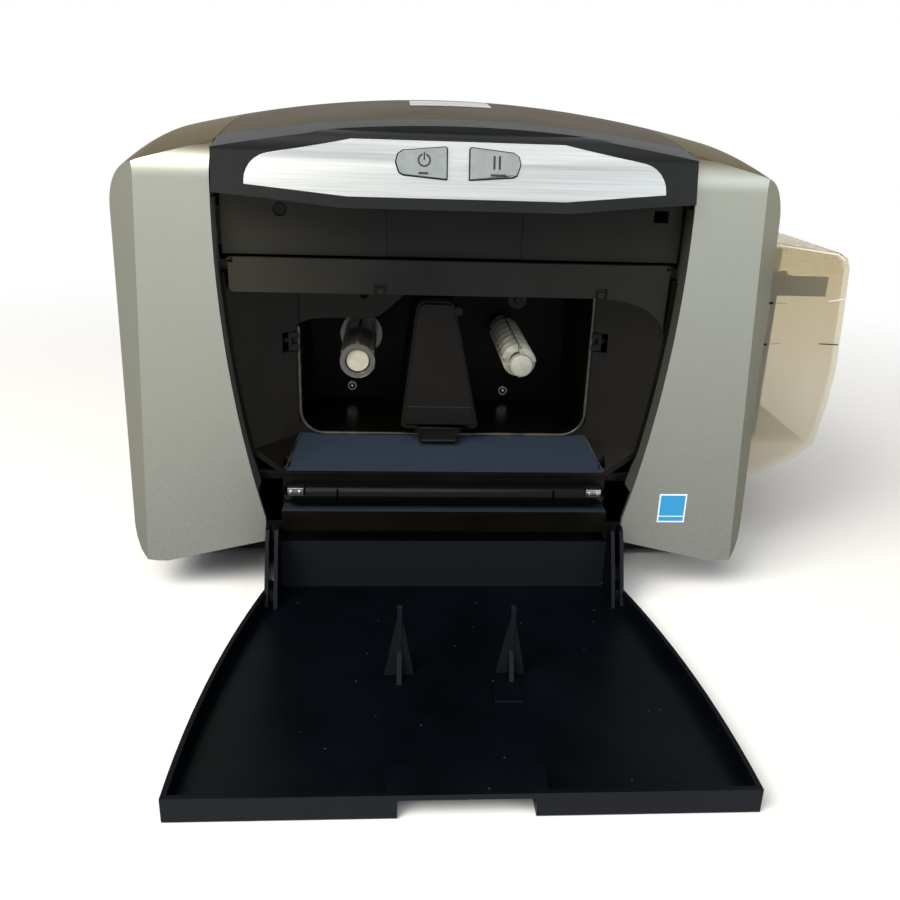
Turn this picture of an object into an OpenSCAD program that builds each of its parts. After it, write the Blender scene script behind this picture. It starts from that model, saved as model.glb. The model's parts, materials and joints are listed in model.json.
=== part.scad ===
/* [Body] */
// half of the body's width over the side walls
body_half = 149.2; // [140:0.1:160]
// height of the crown of the lid over the table
body_h = 225; // [218:1:232]
// depth of the body, front face to back face
body_d = 201; // [180:1:230]
// wall thickness of the mouldings of the case
wall = 2.5; // [2:0.1:3.5]
// radius of the shoulders over the side walls
shoulder_r = 26; // [20:1:30]
// radius of the rounded edge between front face and top
front_edge_r = 16; // [12:1:20]
// radius of the crown across the body
crown_r = 560; // [500:10:640]
// radius of the crown from front to back
barrel_r = 720; // [650:10:800]
// half of the lid's width between the two side panels
lid_half = 100.6; // [99:0.1:104]
// gap on each side of the lid
lid_gap = 0.4; // [0.2:0.1:0.8]
// height of the bottom edge of the side panels at the outer corners
panel_low = 16.2; // [14:0.1:20]
// height of the bottom edge of the side panels beside the door
panel_low_in = 27; // [24:0.1:30]

/* [Front opening] */
// radius of the two curved side edges of the opening
open_r = 554; // [500:1:600]
// half of the opening's width at its widest
open_half = 102; // [98:0.5:104]
// height at which the opening is widest
open_mid = 175; // [165:1:185]
// depth of the return wall behind the opening's edges
return_d = 13; // [10:0.5:15]

/* [Front door] */
// height of the door's rim
door_rim = 9.5; // [8:0.5:11]
// thickness of the door's plate
door_t = 2.5; // [2:0.1:3]
// free gap round the closed door
door_gap = 1.2; // [1:0.1:1.8]
// distance of the hinge pin behind the front face
hinge_y = 13.5; // [12:0.1:15]
// height of the hinge pin over the table
hinge_z = 14; // [13:0.1:15]
// distance from the front face to the far edge of the open door
door_reach = 151.3; // [145:0.1:156]
// radius of the steel hinge pins
hinge_pin_r = 2; // [1.5:0.1:2.5]
// radial clearance of the hinge pins in the door's arms
hinge_fit = 0.06; // [0.02:0.01:0.1]
// height of the two posts on the inside of the door
post_h = 35; // [28:1:37]
// half of the opening's width beside the ears of the door
ear_room = 85; // [84.8:0.1:86]

/* [Control panel] */
// lean of the fascia from the vertical, degrees
fascia_lean = 12; // [8:1:16]
// depth of the middle of the fascia's lower edge below the crown
fascia_h = 42.8; // [40:0.1:45]
// thickness of the metal plate
plate_t = 1; // [0.8:0.1:1.5]
// how far the buttons stand out of the metal plate
button_out = 1.6; // [1:0.1:2.5]
// travel of the two buttons
button_travel = 1; // [0.6:0.1:1.4]
// gap round the buttons
button_gap = 0.5; // [0.3:0.1:0.8]

/* [Ribbon bay] */
// distance of the two spindles either side of the middle of the bay
spindle_dx = 38.2; // [36:0.1:40]
// offset of the middle of the bay from the middle of the body
bay_x = -4.2; // [-8:0.1:0]
// height of the spindles over the table
spindle_z = 110; // [105:1:115]
// distance from the front face to the chassis plate
chassis_y = 101; // [98:1:106]
// thickness of the chassis plate
chassis_t = 2.5; // [2:0.1:3]
// radius of the sleeve of the take-up spindle
takeup_r = 7.4; // [6.5:0.1:8]
// radius of the supply spindle over its barbs
supply_r = 7.8; // [7:0.1:8.5]
// radius of the steel shafts of the spindles
shaft_r = 3; // [2.5:0.1:3.5]
// radial clearance of the shafts in their bearings
shaft_fit = 0.06; // [0.02:0.01:0.1]

/* [Card path] */
// height of the underside of a card over the table
card_z = 66; // [64:1:68]
// radius of the platen roller
platen_r = 8; // [7:0.1:9]
// radius of the feed rollers
feed_r = 6; // [5:0.1:7]
// distance of the feed rollers either side of the platen
feed_dx = 88; // [84:1:92]

/* [Card hopper] */
// reach of the hopper cover beyond the side wall
hopper_w = 48.8; // [44:0.1:54]
// distance from the front face to the front of the hopper
hopper_y = 40; // [34:1:46]
// depth of the hopper cover
hopper_d = 96; // [80:1:110]
// wall thickness of the hopper cover
hopper_t = 2; // [1.5:0.1:2.5]

/* [Hidden] */
$fn = 48;
big = 256;
axis_z = body_h - barrel_r;        // height of the axis the crown turns about
axis_y = 125;                      // the crown's highest line
front_turn = body_h - 33.4;        // height at which the front face starts to curve back
rear_turn = body_h - 19;           // height at which the rear face starts to curve forward
frame_x = 103;                     // inner faces of the two side frames
frame_t = 2;
frame_y0 = 14;
frame_y1 = body_d - 13;
frame_top = body_h - 35;
pan_z = 4;
pan_t = 3;
pan_top = pan_z + pan_t;
pan_y0 = 37;
pan_y1 = body_d - 11;
pan_half = body_half - 9.2;
door_foot = 1.5;                   // hinge end of the door behind the front face
flange_h = 27;
bracket_x = 81.4;                  // middle of the fixed hinge brackets
bracket_t = 1.6;
arm_gap = 0.4;
arm_t = 1.8;
arm_in = bracket_x - bracket_t / 2 - arm_gap - arm_t;
arm_out = bracket_x + bracket_t / 2 + arm_gap;
pin_half = (arm_out + arm_t - arm_in) / 2;
cut_l = -70.3;                     // left and right ends of the cut-out of the bay
cut_r = 69;
cut_low = 71;
cut_top = 150;
cut_y = 30;
box_t = 2;
bar_r = 5;
bar_y = 8;
bar_z = 48.4;
bar_half = 77.3;
strip_low = 30.2;
strip_y = 2.6;
header_y = 10;
funnel_y = 9.6;
strip_half = 77.8;
tower_x = bay_x;
tower_y = 22;
tower_low = 76.4;
tower_top = 137;
card_y0 = 44;                      // the two long edges of the card path
card_y1 = 98;
platen_y0 = card_y0 - 1;
platen_y1 = card_y1;
motor_x = bay_x + 6;
motor_z = 36;
pulley_r = 4;
pulley_y = chassis_y + chassis_t + 2.5;
platen_z = card_z + 0.3 - platen_r;
feed_z = card_z + 0.3 - feed_r;
fascia_low = body_h - fascia_h;
fascia_z0 = fascia_low - 4.2;      // a point on the leaning face, below the fascia's edge
fascia_y0 = -8.4;
face_z = fascia_low + 15.8;        // middle of the leaning face
face_o = [0, fascia_y0 + (face_z - fascia_z0) * tan(fascia_lean), face_z];
collar_z = -wall - 0.2;            // the buttons' collars lie just behind the fascia's wall
hopper_x = body_half + hopper_w;
hop_left = body_half + 0.4;        // open side of the hopper cover
hop_pin = [body_half + 4.4, 36.4]; // axis of the hopper cover's hinge
hop_pin_r = 1.5;
hop_floor = card_z - 0.4;
hop_wall_y = card_y1 + 0.4;
weight_z = 140;                    // underside of the card weight at its highest
swing_r = norm([hinge_y + 0.5, flange_h - hinge_z]) + 0.7; // room for the turning flange of the door
catch_out = 1.5;                   // travel of the two catches
tab_top = 76.8;
tab_up = 1.2;                      // travel of the release tab

function open_w(z) = open_half - open_r + sqrt(open_r * open_r - (z - open_mid) * (z - open_mid));

// drawn with the front face at y = 0; the origin goes to the middle of the whole footprint
module placed() { translate([-hopper_w / 2, -(body_d - door_reach) / 2, 0]) children(); }
module along_x(h) { rotate([90, 0, 90]) linear_extrude(h, center = true) children(); }   // drawn in Y, Z
module along_y(y0, y1) { translate([0, y1, 0]) rotate([90, 0, 0]) linear_extrude(y1 - y0) children(); } // drawn in X, Z
module rod_y(x, z, r, y0, y1) { translate([x, y1, z]) rotate([90, 0, 0]) cylinder(r = r, h = y1 - y0); }
module rod_x(y, z, r, x0, x1) { translate([x0, y, z]) rotate([0, 90, 0]) cylinder(r = r, h = x1 - x0); }
module on_face() { translate(face_o) rotate([90 - fascia_lean, 0, 0]) children(); }

// ---- the outer form of the case, set in by i on every side ----
module crown_section(i) {
    zc = -crown_r + body_h - axis_z;                 // centre of the crown's arc, as a radius
    sx = body_half - shoulder_r;
    sz = zc + sqrt(pow(crown_r - shoulder_r, 2) - sx * sx);
    low = barrel_r - body_h - 35;                    // well under the table
    a = asin(sx / (crown_r - shoulder_r));
    intersection() {
        translate([zc, 0]) circle(r = crown_r - i, $fn = big);
        polygon([[zc, 0], [zc + 900 * cos(a), 900 * sin(a)], [zc + 900 * cos(a), -900 * sin(a)]]);
        translate([low, -200]) square([400, 400]);
    }
    translate([sz, sx]) circle(r = shoulder_r - i, $fn = 96);
    translate([sz, -sx]) circle(r = shoulder_r - i, $fn = 96);
    translate([low, -(body_half - i)]) square([sz - low, 2 * (body_half - i)]);
    translate([low, -sx]) square([sz - low + 10, 2 * sx]);
}
module crown_form(i) {
    translate([0, axis_y, axis_z]) rotate([0, -90, 0]) rotate([0, 0, -25])
        rotate_extrude(angle = 50, $fn = big) crown_section(i);
}
module side_profile(i) {
    r = front_edge_r;
    translate([i, -5]) square([body_d - 2 * i, front_turn + 5]);
    translate([r, front_turn]) circle(r = r - i, $fn = 96);
    translate([r, -5]) square([body_d - 2 * r, 260]);
    translate([body_d - r, -5]) square([r - i, rear_turn + 5]);
    translate([body_d - r, rear_turn]) circle(r = r - i, $fn = 96);
}
module corner_cut(i) {
    k = 0.725;
    s = 0.0494;
    az = -atan(k);
    el = atan(s / sqrt(1 + k * k));
    for (m = [0, 1]) mirror([m, 0, 0])
        translate([body_half - 8.2, 0, 20]) rotate([0, -el, az]) translate([-i, -200, -100]) cube([80, 400, 400]);
}
module case_form(i) {
    difference() {
        intersection() {
            crown_form(i);
            along_x(400) side_profile(i);
        }
        corner_cut(i);
    }
}
module opening_outline(grow) {
    intersection() {
        translate([open_r - open_half, open_mid]) circle(r = open_r + grow, $fn = big);
        translate([open_half - open_r, open_mid]) circle(r = open_r + grow, $fn = big);
        translate([-140, -20]) square([280, body_h + 15]);
    }
    // straight room for the ears of the door
    translate([-ear_room, -20]) square([2 * ear_room, 59]);
}
// everything below the bottom edge, which rises to z_in beside the door
module bottom_edge(z_in) {
    b = body_half;
    for (m = [0, 1]) mirror([m, 0, 0])
        polygon([[-1, -30], [b + 11, -30], [b + 11, 46.8], [b + 2.8, 46.8], [b - 1, 24], [b - 3.8, 19],
                 [b - 7.8, 16.9], [b - 13.2, panel_low], [b - 17.4, panel_low], [ear_room, z_in], [-1, z_in]]);
}
module case_shell() {
    difference() {
        case_form(0);
        intersection() {
            case_form(wall);
            translate([-200, -1, -60]) cube([400, body_d + 10, 400]);
        }
        translate([-200, -5, -60]) cube([400, body_d + 10, 61]);
        along_y(-1, body_d + 2) bottom_edge(panel_low_in);
        translate([-200, body_d - 8, -10]) cube([400, 20, 300]);           // open back
        translate([-lid_half, -2, body_h - 38]) cube([2 * lid_half, body_d + 5, 60]); // room for the lid
        along_y(-1, return_d + 4) opening_outline(0);
    }
}
module side_panel(s) {
    intersection() {
        case_shell();
        translate([s > 0 ? 20 : -180, -5, -5]) cube([160, body_d + 10, 260]);
    }
    // return wall behind the opening's edge
    intersection() {
        difference() {
            along_y(wall - 0.2, return_d) opening_outline(1.8);
            along_y(0, return_d + 2) opening_outline(0);
        }
        translate([s > 0 ? 20 : -180, -5, 52]) cube([160, 40, body_h - 93]);
    }
    // bosses that carry the panel on the side frame
    for (y = [28, body_d - 51]) for (z = [50, body_h - 55])
        if (s > 0) rod_x(y, z, 4, frame_x + frame_t, body_half - wall + 0.6);
        else rod_x(y, z, 4, -(body_half - wall + 0.6), -frame_x - frame_t);
}
module left_side_panel() placed() color("silver") difference() {
    side_panel(-1);
    // exit slot for the printed cards
    translate([-body_half - 1, card_y0 - 2, card_z - 4]) cube([wall + 3, card_y1 - card_y0 + 4, 14]);
}
module right_side_panel() placed() color("silver") difference() {
    union() {
        side_panel(1);
        // lugs of the hopper cover's hinge
        for (y = [hopper_y + 14, hopper_y + hopper_d - 18]) {
            translate([body_half - 0.6, y, hop_pin[1] - 2.6]) cube([hop_pin[0] - body_half + 0.6, 4, 5.2]);
            rod_y(hop_pin[0], hop_pin[1], 2.6, y, y + 4);
        }
    }
    // the hopper's mouth in the side wall, and the bores of the lugs
    translate([body_half - wall - 1, hopper_y + 3, 46]) cube([wall + 3, hopper_d - 6, 112]);
    rod_y(hop_pin[0], hop_pin[1], hop_pin_r, hopper_y + 10, hopper_y + hopper_d - 10);
}

// ---- chassis ----
module base_pan() placed() color("dimgray") {
    translate([-pan_half, pan_y0, pan_z]) cube([2 * pan_half, pan_y1 - pan_y0, pan_t]);
    difference() {
        translate([-pan_half, pan_y0, pan_top - 0.01]) cube([2 * pan_half, pan_y1 - pan_y0, 13]);
        translate([2 - pan_half, pan_y0 + 2, pan_top - 1]) cube([2 * pan_half - 4, pan_y1 - pan_y0 - 4, 20]);
        for (s = [-1, 1]) translate([s * (frame_x + frame_t / 2) - frame_t / 2 - 0.02, pan_y0 - 1, pan_top])
            cube([frame_t + 0.04, pan_y1, 20]);
    }
    for (s = [-1, 1]) difference() {
        union() {
            translate([s * bracket_x - bracket_t / 2, hinge_y, 8.6]) cube([bracket_t, pan_y0 - hinge_y + 1, 10.8]);
            rod_x(hinge_y, hinge_z, 5.4, s * bracket_x - bracket_t / 2, s * bracket_x + bracket_t / 2);
        }
        rod_x(hinge_y, hinge_z, hinge_pin_r, s * bracket_x - 6, s * bracket_x + 6);
    }
}
module feet() placed() color("black")
    for (s = [-1, 1]) for (y = [pan_y0 + 15, pan_y1 - 14]) translate([s * (pan_half - 20), y, 0]) cylinder(r = 8, h = pan_z);

module side_frame(s) {
    x = s > 0 ? frame_x : -frame_x - frame_t;
    difference() {
        translate([x, frame_y0, pan_top]) cube([frame_t, frame_y1 - frame_y0, frame_top - pan_top]);
        translate([x - 1, frame_y0 - 1, pan_top - 1]) cube([frame_t + 2, pan_y0 - frame_y0 + 1, 28]);
        // card slot
        translate([x - 1, card_y0 - 2, card_z - 10]) cube([frame_t + 2, card_y1 - card_y0 + 4, 24]);
        // lightening window
        translate([x - 1, frame_y1 - 78, 60]) cube([frame_t + 2, 50, 80]);
    }
    // foot that is screwed to the pan
    translate([s > 0 ? frame_x - 10 : -frame_x, frame_y1 - 68, pan_top]) cube([10, 50, 2]);
}
module left_frame() placed() color("gray") side_frame(-1);
module right_frame() placed() color("gray") side_frame(1);

module top_bridge() placed() color("gray") {
    translate([-frame_x, 22, frame_top - 4]) cube([2 * frame_x, 128, 2]);
    for (x = [-60, 60]) for (y = [80, 130]) translate([x, y, frame_top - 2.01]) cylinder(r = 5, h = 3);
}

module chassis_plate() placed() color("dimgray") difference() {
    translate([-frame_x, chassis_y, pan_top]) cube([2 * frame_x, chassis_t, frame_top - 4 - pan_top]);
    for (s = [-1, 1]) rod_y(bay_x + s * spindle_dx, spindle_z, shaft_r + shaft_fit, chassis_y - 1, chassis_y + 6);
    for (x = [-feed_dx, 0, feed_dx]) rod_y(bay_x + x, x == 0 ? platen_z : feed_z, shaft_r + shaft_fit, chassis_y - 1, chassis_y + 6);
    rod_y(bay_x + 40.7, 132.4, 1.6, chassis_y - 1, chassis_y + 6);
}

// ---- lid, nameplate, fascia and buttons ----
module top_lid() placed() color("black") {
    difference() {
        intersection() {
            case_form(0);
            translate([-(lid_half - lid_gap), 20, body_h - 75]) cube([2 * (lid_half - lid_gap), body_d - 28.2, 100]);
        }
        crown_form(wall);
        translate([-200, 20, body_h - 125]) cube([400, body_d, 93]);
    }
    // legs down to the bridge
    for (x = [-60, 60]) for (y = [80, 130])
        intersection() {
            translate([x, y, frame_top + 0.99]) cylinder(r = 4, h = 40);
            crown_form(wall - 0.5);
        }
}
module nameplate() placed() color("silver") intersection() {
    difference() { crown_form(-0.6); crown_form(0); }
    translate([-19, 62, body_h - 25]) cube([38, 24, 60]);
}
module fascia_profile(i) {
    cy = 3.76;                                       // middle of the rounding over the leaning face
    cz = fascia_low + 22.84;
    top = cz + 1.46;
    translate([i / cos(fascia_lean), 0])
        polygon([[fascia_y0, fascia_z0], [fascia_y0 + (top - fascia_z0) * tan(fascia_lean), top], [cy, cz],
                 [cy, fascia_z0]]);
    translate([cy + (i > 0 ? i * 0.3 : 0), cz]) circle(r = 7 - i * 0.7, $fn = 64);
    translate([cy, fascia_z0]) square([20 - cy, 80]);
}
module plate_outline() {
    for (m = [0, 1]) mirror([m, 0, 0]) polygon(concat([[-0.5, -11.6], [45.5, -11.6], [87, -7.7]],
        [for (a = [0:13:78]) [75.4 + 11.6 * cos(a), -6.6 + 11.6 * sin(a)]], [[44, 11.2], [-0.5, 11.2]]));
}
module fascia_outline(i) {
    w = lid_half - lid_gap - i;
    z = fascia_low + i;
    polygon([[-w, z + 4.8], [-78, z + 3], [-48, z], [48, z], [78, z + 3], [w, z + 4.8], [w, body_h + 15],
             [-w, body_h + 15]]);
}
module fascia() placed() color("black") {
    difference() {
        intersection() {
            crown_form(0);
            along_x(2 * lid_half) fascia_profile(0);
            along_y(-12, 19.8) fascia_outline(0);
        }
        intersection() {
            crown_form(wall);
            along_x(2 * lid_half) fascia_profile(wall);
            along_y(-12, 40) fascia_outline(wall);
        }
        on_face() translate([0, 0, -plate_t]) linear_extrude(8) plate_outline();
        for (s = [0, 1]) on_face() mirror([s, 0, 0]) translate([0, 0, -12]) linear_extrude(20) button_outline(button_gap);
    }
    // hooks that reach back to the bridge
    for (x = [-63, 63]) translate([x - 3, 8, frame_top - 4]) cube([6, 14, 4]);
    for (x = [-63, 63]) translate([x - 3, 8, fascia_low + 2.4]) cube([6, 5, frame_top - fascia_low - 4]);
}
module button_outline(g) offset(delta = g)
    polygon([[4.9, -3.6], [22.4, -2.2], [24, -1.4], [25.4, 2.6], [24.6, 5.6], [22.6, 7], [5.4, 8.7], [4.9, 8.3]]);

module control_plate() placed() color("silver") difference() {
    on_face() translate([0, 0, -plate_t]) linear_extrude(plate_t + 0.2) plate_outline();
    for (s = [0, 1]) on_face() mirror([s, 0, 0]) translate([0, 0, -12]) linear_extrude(20) button_outline(button_gap);
}
module button(s) {
    on_face() mirror([s < 0 ? 1 : 0, 0, 0]) {
        difference() {
            translate([0, 0, collar_z - 1.2]) linear_extrude(1.2 - collar_z + button_out) button_outline(0);
            // rebate for the printed mark
            translate([0, 0, button_out - 0.4]) linear_extrude(2) mark_outline(s);
        }
        // collar that keeps the button in the fascia, and its stem
        translate([0, 0, collar_z - 1.2]) linear_extrude(1.2) button_outline(1.4);
        translate([14.5, 2.6, -7.6]) cylinder(r = 2, h = 4);
    }
}
module mark_outline(s) {
    if (s < 0) {
        translate([14, 3.4]) difference() { circle(r = 2.7); circle(r = 2); translate([-0.7, 0]) square([1.4, 4]); }
        translate([13.7, 3.4]) square([0.6, 3.2]);
        translate([12.3, -2.2]) square([4, 0.9]);
    } else {
        translate([14.2, 0.4]) square([0.9, 5.4]);
        translate([16.4, 0.4]) square([0.9, 5.4]);
        translate([13.2, -2.3]) square([6.4, 0.9]);
    }
}
module power_button() placed() color("lightgray") button(-1);
module pause_button() placed() color("lightgray") button(1);
module power_mark() placed() color("black") on_face() mirror([1, 0, 0])
    translate([0, 0, button_out - 0.4]) linear_extrude(0.4) mark_outline(-1);
module pause_mark() placed() color("black") on_face()
    translate([0, 0, button_out - 0.4]) linear_extrude(0.4) mark_outline(1);
module button_board() placed() color("green") {
    on_face() translate([-32, -6.5, -11.2]) cube([64, 16, 1.6]);
    // the two switches under the stems
    for (s = [-1, 1]) on_face() translate([s * 14.5 - 2, 0.6, -9.61]) cube([4, 4, 2.01 - button_travel]);
    // hooks to the floor of the fascia
    for (x = [-28, 24]) translate([x, 3.2, fascia_low + wall]) cube([4, 4, 6]);
}

// ---- black panels under the fascia ----
module header_panel() placed() color("black") {
    difference() {
        along_y(header_y, header_y + 2.5) polygon([[-100, 160], [100, 160], [100, fascia_low + 4.5],
            [78, fascia_low + 2.8], [48, fascia_low], [-48, fascia_low], [-78, fascia_low + 2.8], [-100, fascia_low + 4.5]]);
        // counterbore of the screw, stepped-back middle and the window at the right
        rod_y(-74.7, fascia_low - 2.9, 2.9, header_y - 1, header_y + 1.7);
        translate([-29.4, header_y - 1, 159]) cube([59.4, 1.8, body_h]);
        translate([87.6, header_y - 1, fascia_low - 4.7]) cube([6.4, 5, 5]);
    }
    // legs to the side frames
    for (s = [-1, 1]) {
        translate([s > 0 ? 97.6 : -99.6, header_y + 2.4, 163]) cube([2, 3.6, 17]);
        translate([s > 0 ? 97.6 : -frame_x, frame_y0, 163]) cube([frame_x - 97.6, 2, 17]);
    }
}
module rail_outline() {
    polygon(concat([[-97, 159.3], [-97, 146.2], [-96.3, 145], [-95, 144.5], [66, 144.5]],
        [for (i = [1:8]) [66 + 30.2 * sin(i * 11.25), 127.5 + 17 * cos(i * 11.25)]], [[97, 159.3]]));
}
module upper_rail() placed() color("black") {
    tab_z = 152.4;                                   // the tabs pass over the bay housing
    difference() {
        intersection() {
            translate([0, 0, 120]) linear_extrude(50)
                polygon([[-97, 5], [77, 5], [97, 7.4], [97, 9.4], [77, 8], [-97, 8]]);
            along_y(0, 20) rail_outline();
        }
        for (x = [-31.6, 66]) translate([x - 2.8, 3, 143.5]) cube([5.6, 4, 5.4]);
        for (p = [[-97, 4.5], [95.2, 6.6]]) translate([p[0] - 0.1, p[1], 157]) cube([2.2, 2, 3]);
    }
    for (x = [-31.6, 66]) translate([x - 1.2, 5.6, 144.6]) cube([2.4, 1.5, 2.4]);
    for (s = [-1, 1]) {
        translate([s > 0 ? 95 : -97, 7.9, tab_z]) cube([2, frame_y0 + 2 - 7.9, 4.4]);
        translate([s > 0 ? 95 : -frame_x, frame_y0, tab_z]) cube([frame_x - 95, 2, 4.4]);
    }
}
module rail_pins() placed() color("silver") {
    rod_x(5.5, 158.4, 0.8, -97.7, -94.9);
    rod_x(7.6, 158.4, 0.8, 95.1, 97.9);
}

// ---- ribbon bay ----
module funnel(o) {
    hull() {
        along_y(funnel_y - (o > 0 ? 0 : 0.01), funnel_y + 0.01) polygon(concat(
            [[-76 - o, 59 - o], [76 + o, 59 - o], [open_w(72) - 2.4 + o, 70 - o]],
            [for (z = [85, 110, 130, 152]) [open_w(z) - 2 + o, z]],
            [for (z = [152, 130, 110, 85]) [2 - o - open_w(z), z]],
            [[2.4 - o - open_w(72), 70 - o]]));
        translate([cut_l - o, cut_y - 0.01, cut_low - o]) cube([cut_r - cut_l + 2 * o, 0.01 + (o > 0 ? 2 : 0), 152 - cut_low + o]);
    }
}
module cut_outline() {
    r = 11.5;
    for (x = [cut_l + r, cut_r - r]) translate([x, cut_low + r]) circle(r = r);
    translate([cut_l, cut_low + r]) square([cut_r - cut_l, 160 - cut_low]);
    translate([cut_l + r, cut_low]) square([cut_r - cut_l - 2 * r, 40]);
}
module bay_housing() placed() color("black") {
    difference() {
        funnel(1.9);
        funnel(0);
        along_y(20, 40) intersection() { cut_outline(); translate([-90, 60]) square([180, 87.6]); }
        // slots beside the floor and seats of the two catches
        for (x = [-77.4, 74.2]) translate([x, 4, 60]) cube([3.2, 12, 8]);
        translate([cut_l - 5.6 - catch_out, 20, 112]) cube([8 + catch_out, 20, 9.6]);
        translate([cut_r - 2.4, 20, 114]) cube([8 + catch_out, 20, 9.6]);
    }
    // box of the bay behind the funnel
    difference() {
        translate([cut_l - box_t, cut_y + 2, 62]) cube([cut_r - cut_l + 2 * box_t, chassis_y - cut_y - 2, 90]);
        translate([cut_l, cut_y, card_z]) cube([cut_r - cut_l, chassis_y, cut_top - card_z]);
        translate([cut_l - 5, card_y0 - 1, card_z]) cube([cut_r - cut_l + 10, card_y1 - card_y0 + 2, 5]); // card slots
        translate([bay_x - 9.5, platen_y0 - 1, 60]) cube([19, platen_y1 - platen_y0 + 2, 8]);  // platen window
        translate([cut_l - 5, cut_y - 5, 111]) cube([8, 16, 11.6]);
        translate([cut_r - 3, cut_y - 5, 113]) cube([8, 16, 11.6]);
    }
    // shroud over the take-up spindle
    difference() {
        along_y(cut_y + 2, cut_y + 10) translate([cut_l, 0]) polygon([[-0.1, 150.1], [-0.1, 124.4], [2, 125.8], [6, 127],
            [14, 127.7], [33, 127.6], [37, 128.6], [41, 131.6], [48, 138], [51, 142], [53, 150.1]]);
        rod_y(-39.6, 139, 2, cut_y, cut_y + 6);
    }
    // lugs to the side frames
    for (s = [-1, 1]) translate([s > 0 ? cut_r + box_t - 0.1 : -frame_x, 50, 84])
        cube([frame_x - box_t + 0.1 - (s > 0 ? cut_r : -cut_l), 3, 14]);
}
module catch(s) {
    difference() {
        cube([5, 6, 8.6]);
        translate([s > 0 ? -1 : 2, -1, 3]) cube([4, 4, 3]);
    }
    translate([s > 0 ? 4.9 : -8.9, 2.4, 3.2]) cube([9, 2, 2.4]);
}
module left_catch() placed() color("black") translate([cut_l - 4.8, 27.6, 112.5]) catch(-1);
module right_catch() placed() color("black") translate([cut_r - 0.2, 27.6, 114.5]) catch(1);

module takeup_spindle() placed() color([0.25, 0.24, 0.22, 0.9]) {
    x = bay_x - spindle_dx;
    difference() {
        union() {
            rod_y(x, spindle_z, takeup_r, 20, chassis_y - 2);
            // rim at the tip, and the flange that a ribbon's core stops against
            rod_y(x, spindle_z, takeup_r + 0.8, 20, 22.4);
            rod_y(x, spindle_z, 11, chassis_y - 27, chassis_y - 24.6);
            for (a = [0:60:300]) translate([x, 22, spindle_z]) rotate([0, a, 0])
                translate([-0.8, 0, 0]) cube([1.6, chassis_y - 47, takeup_r + 1.4]);
        }
        rod_y(x, spindle_z, 5.8, 18, 34);
        rod_y(x, spindle_z, shaft_r, 30, chassis_y);
    }
}
module takeup_core() placed() color("ivory") {
    x = bay_x - spindle_dx;
    rod_y(x, spindle_z, 5.4, 21.4, 34);
    rod_y(x, spindle_z, shaft_r, 33.9, chassis_y + 12);
}
module gear(r, teeth, w) {
    difference() {
        union() {
            cylinder(r = r - 1, h = w);
            for (i = [0:teeth - 1]) rotate([0, 0, i * 360 / teeth]) translate([r - 1.3, -0.7, 0]) cube([2, 1.4, w]);
        }
        translate([0, 0, -1]) cylinder(r = shaft_r, h = w + 2);
    }
}
module takeup_gear() placed() color("white")
    translate([bay_x - spindle_dx, chassis_y + 12, spindle_z]) rotate([90, 0, 0]) gear(16, 32, 6);
module supply_gear() placed() color("white")
    translate([bay_x + spindle_dx, chassis_y + 12, spindle_z]) rotate([90, 0, 0]) gear(16, 32, 6);
module supply_spindle() placed() color("white") {
    x = bay_x + spindle_dx;
    core = 5.2;
    difference() {
        union() {
            // rings of barbs, each rising towards the back
            translate([x, 0, spindle_z]) rotate([-90, 0, 0]) rotate_extrude() polygon(concat([[0, 15], [core - 0.2, 15]],
                [for (i = [0:26]) [i % 3 == 1 ? supply_r - 0.5 : core, 19 + 8 * floor(i / 3) + [0, 5.6, 6.2][i % 3]]],
                [[core, chassis_y - 2], [0, chassis_y - 2]]));
            for (a = [0:90:270]) translate([x, 19, spindle_z]) rotate([0, a, 0])
                translate([-0.6, 0, 0]) cube([1.2, chassis_y - 24, supply_r]);
        }
        rod_y(x, spindle_z, 1, 14, 17);
    }
    rod_y(x, spindle_z, shaft_r, 60, chassis_y + 12);
}
module guide_wheel() placed() color("dimgray") {
    rod_y(bay_x + 40.7, 132.4, 5, 60, 64);
    rod_y(bay_x + 40.7, 132.4, 1.6, 58, chassis_y + 3);
}
module bay_screws() placed() color("silver") {
    for (p = [[-48.5, 73.8], [36.6, 72]]) {
        rod_y(p[0], p[1], 2.6, chassis_y - 1.2, chassis_y);
        rod_y(p[0], p[1], 1.2, chassis_y - 1.8, chassis_y - 1.1);
    }
    // the screw of the header
    rod_y(-74.5, fascia_low - 2.7, 2.2, header_y + 0.5, header_y + 1.7);
}

// ---- printhead tower ----
module tower_outline(g) {
    translate([tower_x, 0]) polygon([[-15.4, tower_low - g], [17.4, tower_low - g], [18.7 + g, tower_low + 0.7],
        [18.6 + g, tower_low + 2.4], [6.4 + g, tower_top - 3], [5.4 + g, tower_top - 0.9 + g / 2], [3.6, tower_top + g],
        [-7.4, tower_top + g], [-9.2 - g, tower_top - 0.9 + g / 2], [-10.2 - g, tower_top - 3],
        [-16.6 - g, tower_low + 2.4], [-16.7 - g, tower_low + 0.7]]);
}
module printhead_tower() placed() color("black") difference() {
    union() {
        along_y(tower_y + 2.4, chassis_y) tower_outline(0.9);
        rod_y(tower_x + 8.4, 133.6, 2, tower_y + 1.6, tower_y + 10);
    }
    // pocket for the printhead, and the seat of the release tab
    translate([tower_x - 9, card_y0 - 3, 60]) cube([18, chassis_y - card_y0 + 2, 23]);
    translate([tower_x - 11, tower_y - 1, 60]) cube([23, 9, tab_top + tab_up - 54.6]);
}
module tower_cover() placed() color("black") {
    along_y(tower_y, tower_y + 2.4) difference() {
        tower_outline(0);
        translate([tower_x - 9.6, 60]) square([20.2, tab_top + tab_up + 0.4 - 60]);
    }
    // the shallow band across its foot
    along_y(tower_y - 0.5, tower_y) translate([tower_x, tab_top + tab_up])
        polygon([[-15.8, 0.6], [17.6, 0.6], [15.9, 9.5], [-14.3, 9.5]]);
}
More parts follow.
